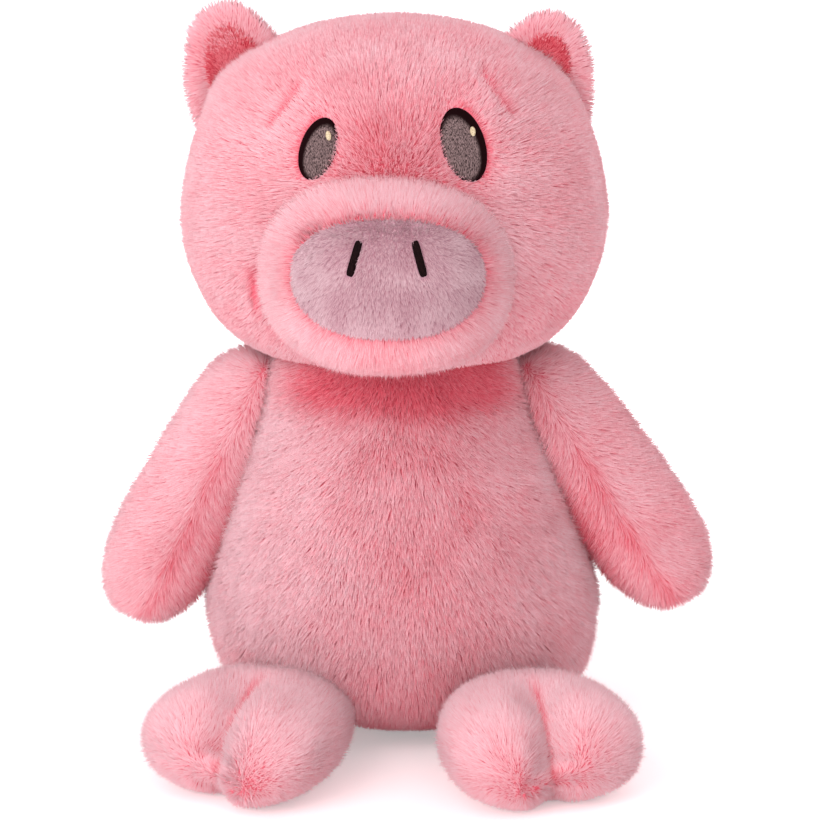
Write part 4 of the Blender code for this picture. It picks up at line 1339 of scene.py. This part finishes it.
def glint_piece(side):
    place = (SIDES[side] * EYE_OUT[side] + GLINT_RIGHT[side], EYE_UP[side] + GLINT_UP)
    outline = oval(*place, GLINT_WIDTH, GLINT_HEIGHT, -12.0)

    def front(x, z, share):
        return head_front(x, z) - GAP - EYE_DOME - 0.0007 * np.sqrt(1.0 - 0.9 * share**2)

    def back(x, z, share):
        return head_front(x, z) - GAP - EYE_DOME * 0.8

    return pad_object("eye_glint_" + side, outline, front, back, GLINT_THREAD, 12, 40)


def brow_piece(side):
    start, end = brow_line(side)
    middle = (start + end) / 2
    outline = oval(*middle, STITCH_DIAMETER, BROW_LENGTH, -SIDES[side] * BROW_TILT_DEG, 3.0)

    def front(x, z, share):
        return head_front(x, z) - GAP - STITCH_DIAMETER / 2 * np.sqrt(1.0 - 0.9 * share**2)

    def back(x, z, share):
        return head_front(x, z) - GAP

    return pad_object("brow_thread_" + side, outline, front, back, PINK_THREAD, 12, 60)


def toe_stitch_piece(side):
    """A thread along the bottom of the cleft, from the instep to the tip."""
    rings = []
    shares = np.linspace(0.55, 0.96, 48)
    rows = np.array(LEG_SHARES)
    turns = np.linspace(0.0, 2.0 * math.pi, 12, endpoint=False)
    for share in shares:
        thickness = np.interp(share, rows[:, 0], rows[:, 2])
        kept, draw = cleft(np.array(0.0), np.array(share))
        height = FOOT_HEIGHT / 2 * thickness * float(kept) - toe_drop(share, thickness)
        height += STITCH_DIAMETER / 2 + 2 * GAP
        twist = 0.00008 * math.cos(share * 400.0)
        radius = STITCH_DIAMETER / 2 + twist
        ring = [np.cos(turns) * radius, height + np.sin(turns) * radius, np.full(12, LEG_LENGTH * share - float(draw))]
        rings.append(np.stack(ring, axis=1))
    bm = closed_mesh(np.array(rings))
    return skin_object(bm, "toe_thread_" + side, hip_frame(side), PINK_THREAD)


# Assembly


def stand_for(piece, body, slot, *nodes):
    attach(piece, body)
    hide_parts(*nodes)


def make_body():
    skin = body_skin()
    stand_for(skin, "body", "plush", "body_cover", "body_stuffing", "seat_pellet_bag")
    grow("body_pile", skin, "body", PILE, 100, body_comb, keep=body_keep, trim=body_trim, tint=body_tint_and_shading,
         ground=body_ground)
    tail = tail_skin()
    stand_for(tail, "body", "plush", "tail")
    grow("tail_pile", tail, "body", PILE, 150, tail_comb, length=0.0035, tint=tail_tint)


def make_head():
    skin = head_skin()
    stand_for(skin, "head", "plush", "head_cover", "head_stuffing")
    grow("head_pile", skin, "head", PILE, 200, head_comb, keep=head_keep, trim=head_trim, tint=head_tint_and_shading,
         swell=head_swell)
    muzzle = muzzle_skin()
    stand_for(muzzle, "head", "plush", "muzzle_cover", "muzzle_stuffing")
    grow("muzzle_pile", muzzle, "head", PILE, 250, muzzle_comb, keep=muzzle_keep, trim=muzzle_trim,
         tint=muzzle_tint_and_shade, lean_deg=48.0)
    for side in SIDES:
        number = 300 if side == "left" else 330
        ear = ear_skin(side)
        stand_for(ear, "head", "plush", "ear_" + side)
        grow("ear_pile_" + side, ear, "head", PILE, number, ear_comb(side), keep=ear_keep(side), tint=ear_tint,
             length=0.0052, gather=0.25, wander=0.45)
        lining = lining_skin(side)
        stand_for(lining, "head", "ear_lining", "ear_lining_" + side)
        grow("ear_lining_pile_" + side, lining, "head", LINING_PILE, number + 15, lining_comb(side),
             keep=lining_keep, tint=lining_tint(side), length=0.0026, per_mm2=5.0, width=0.00026)


def make_face():
    snout = snout_piece()
    stand_for(snout, "head", "snout_pile", "snout_patch")
    grow("snout_pile", snout, "head", SNOUT_PILE, 400, snout_comb, keep=snout_keep, trim=snout_trim,
         tint=snout_tint_and_light,
         length=0.0032, per_mm2=7.0, width=0.00022, lean_deg=54.0, tuft=0.0022, gather=0.45)
    for side in SIDES:
        stand_for(nostril_piece(side), "head", "nostril_thread", "nostril_" + side)
        stand_for(eye_piece(side), "head", "eye_thread", "eye_" + side)
        stand_for(glint_piece(side), "head", "highlight_thread", "eye_highlight_" + side)
        stand_for(brow_piece(side), "head", "pink_thread", "brow_stitch_" + side)


def make_limbs():
    for side in SIDES:
        number = 500 if side == "left" else 550
        body = "arm_" + side
        arm = arm_skin(side)
        stand_for(arm, body, "plush", "arm_cover_" + side, "arm_stuffing_" + side)
        grow("arm_pile_" + side, arm, body, PILE, number, arm_comb(side), keep=arm_keep(side), trim=arm_trim(side),
             tint=arm_tint_and_shade(side), length=0.0060)
        body = "leg_" + side
        leg = leg_skin(side)
        stand_for(leg, body, "plush", "leg_cover_" + side, "leg_stuffing_" + side)
        grow("leg_pile_" + side, leg, body, PILE, number + 25, leg_comb(side), keep=leg_keep(side),
             trim=leg_trim, tint=leg_tint_and_shade(side), lean_deg=50.0, length=0.0050)
        stand_for(toe_stitch_piece(side), body, "pink_thread", "toe_stitch_" + side)


# Floor, light and camera


def make_floor():
    half = FLOOR_SIZE / 2
    mesh = bpy.data.meshes.new("floor")
    mesh.from_pydata([(-half, -half, 0), (half, -half, 0), (half, half, 0), (-half, half, 0)], [], [(0, 1, 2, 3)])
    made, tree, shader = new_material("pale_floor", 0.9)
    path = tree.nodes.new("ShaderNodeLightPath")
    first = tree.nodes.new("ShaderNodeMath")
    first.operation = "MAXIMUM"
    tree.links.new(path.outputs["Is Camera Ray"], first.inputs[0])
    tree.links.new(path.outputs["Is Glossy Ray"], first.inputs[1])
    second = tree.nodes.new("ShaderNodeMath")
    second.operation = "MAXIMUM"
    tree.links.new(first.outputs[0], second.inputs[0])
    tree.links.new(path.outputs["Is Transmission Ray"], second.inputs[1])
    glow = tree.nodes.new("ShaderNodeMath")
    glow.operation = "MULTIPLY"
    tree.links.new(second.outputs[0], glow.inputs[0])
    where = tree.nodes.new("ShaderNodeTexCoord")
    length = tree.nodes.new("ShaderNodeVectorMath")
    length.operation = "LENGTH"
    tree.links.new(where.outputs["Object"], length.inputs[0])
    spread = tree.nodes.new("ShaderNodeMapRange")
    for socket, value in (("From Min", 0.13), ("From Max", 0.4), ("To Min", 0.36), ("To Max", 0.9)):
        spread.inputs[socket].default_value = value
    tree.links.new(length.outputs["Value"], spread.inputs["Value"])
    tree.links.new(spread.outputs["Result"], glow.inputs[1])
    # Painted bounce light: the floor's base colour is pinker within about 0.13 m of the middle and grey-white beyond
    # about 0.15 m.
    painted_bounce = ramp_node(tree, ((0.36, srgb(248, 226, 229)), (0.40, srgb(242, 242, 242))))
    tree.links.new(spread.outputs["Result"], painted_bounce.inputs["Fac"])
    tree.links.new(painted_bounce.outputs["Color"], shader.inputs["Base Color"])
    # Painted bounce light: the glow is a little pink, which tints the floor's shade.
    shader.inputs["Emission Color"].default_value = (1.0, 0.97, 0.975, 1.0)
    tree.links.new(glow.outputs[0], shader.inputs["Emission Strength"])
    new_object("floor", mesh, made)


def make_world():
    world = bpy.data.worlds.new("studio")
    bpy.context.scene.world = world
    world.use_nodes = True
    tree = world.node_tree
    background = tree.nodes["Background"]
    background.inputs["Color"].default_value = (1.0, 1.0, 1.0, 1.0)
    background.inputs["Strength"].default_value = 0.97
    seen = tree.nodes.new("ShaderNodeBackground")
    seen.inputs["Color"].default_value = (1.0, 1.0, 1.0, 1.0)
    seen.inputs["Strength"].default_value = 1.0
    path = tree.nodes.new("ShaderNodeLightPath")
    first = tree.nodes.new("ShaderNodeMath")
    first.operation = "MAXIMUM"
    tree.links.new(path.outputs["Is Camera Ray"], first.inputs[0])
    tree.links.new(path.outputs["Is Glossy Ray"], first.inputs[1])
    second = tree.nodes.new("ShaderNodeMath")
    second.operation = "MAXIMUM"
    tree.links.new(first.outputs[0], second.inputs[0])
    tree.links.new(path.outputs["Is Transmission Ray"], second.inputs[1])
    mix = tree.nodes.new("ShaderNodeMixShader")
    tree.links.new(second.outputs[0], mix.inputs["Fac"])
    tree.links.new(background.outputs[0], mix.inputs[1])
    tree.links.new(seen.outputs[0], mix.inputs[2])
    tree.links.new(mix.outputs[0], tree.nodes["World Output"].inputs["Surface"])


def make_lamp(name, place, size, power):
    lamp = bpy.data.lights.new(name, "AREA")
    lamp.shape = "DISK"
    lamp.size = size
    lamp.energy = power
    made = bpy.data.objects.new(name, lamp)
    made.location = place
    made.rotation_euler = (AIM - Vector(place)).to_track_quat("-Z", "Y").to_euler()
    bpy.context.scene.collection.objects.link(made)


def make_camera():
    camera = bpy.data.cameras.new("camera")
    camera.sensor_width = SENSOR_WIDTH_MM
    camera.lens = SENSOR_WIDTH_MM * CAMERA_DISTANCE / VIEW_WIDTH
    made = bpy.data.objects.new("camera", camera)
    tilt = math.radians(CAMERA_ELEVATION_DEG)
    made.location = AIM + Vector((0.0, -math.cos(tilt), math.sin(tilt))) * CAMERA_DISTANCE
    made.rotation_euler = (math.radians(90.0) - tilt, 0.0, 0.0)
    bpy.context.scene.collection.objects.link(made)
    bpy.context.scene.camera = made


bpy.context.scene.view_settings.view_transform = "Standard"
make_camera()
make_world()
make_lamp("key", (-1.4, -1.4, 1.3), 1.6, 25.0)
make_lamp("back", (1.2, 1.9, 1.2), 1.6, 13.0)
make_lamp("fill", (0.5, -2.0, 0.35), 1.6, 10.0)
make_floor()
make_body()
make_head()
make_face()
make_limbs()

bpy.context.view_layer.update()
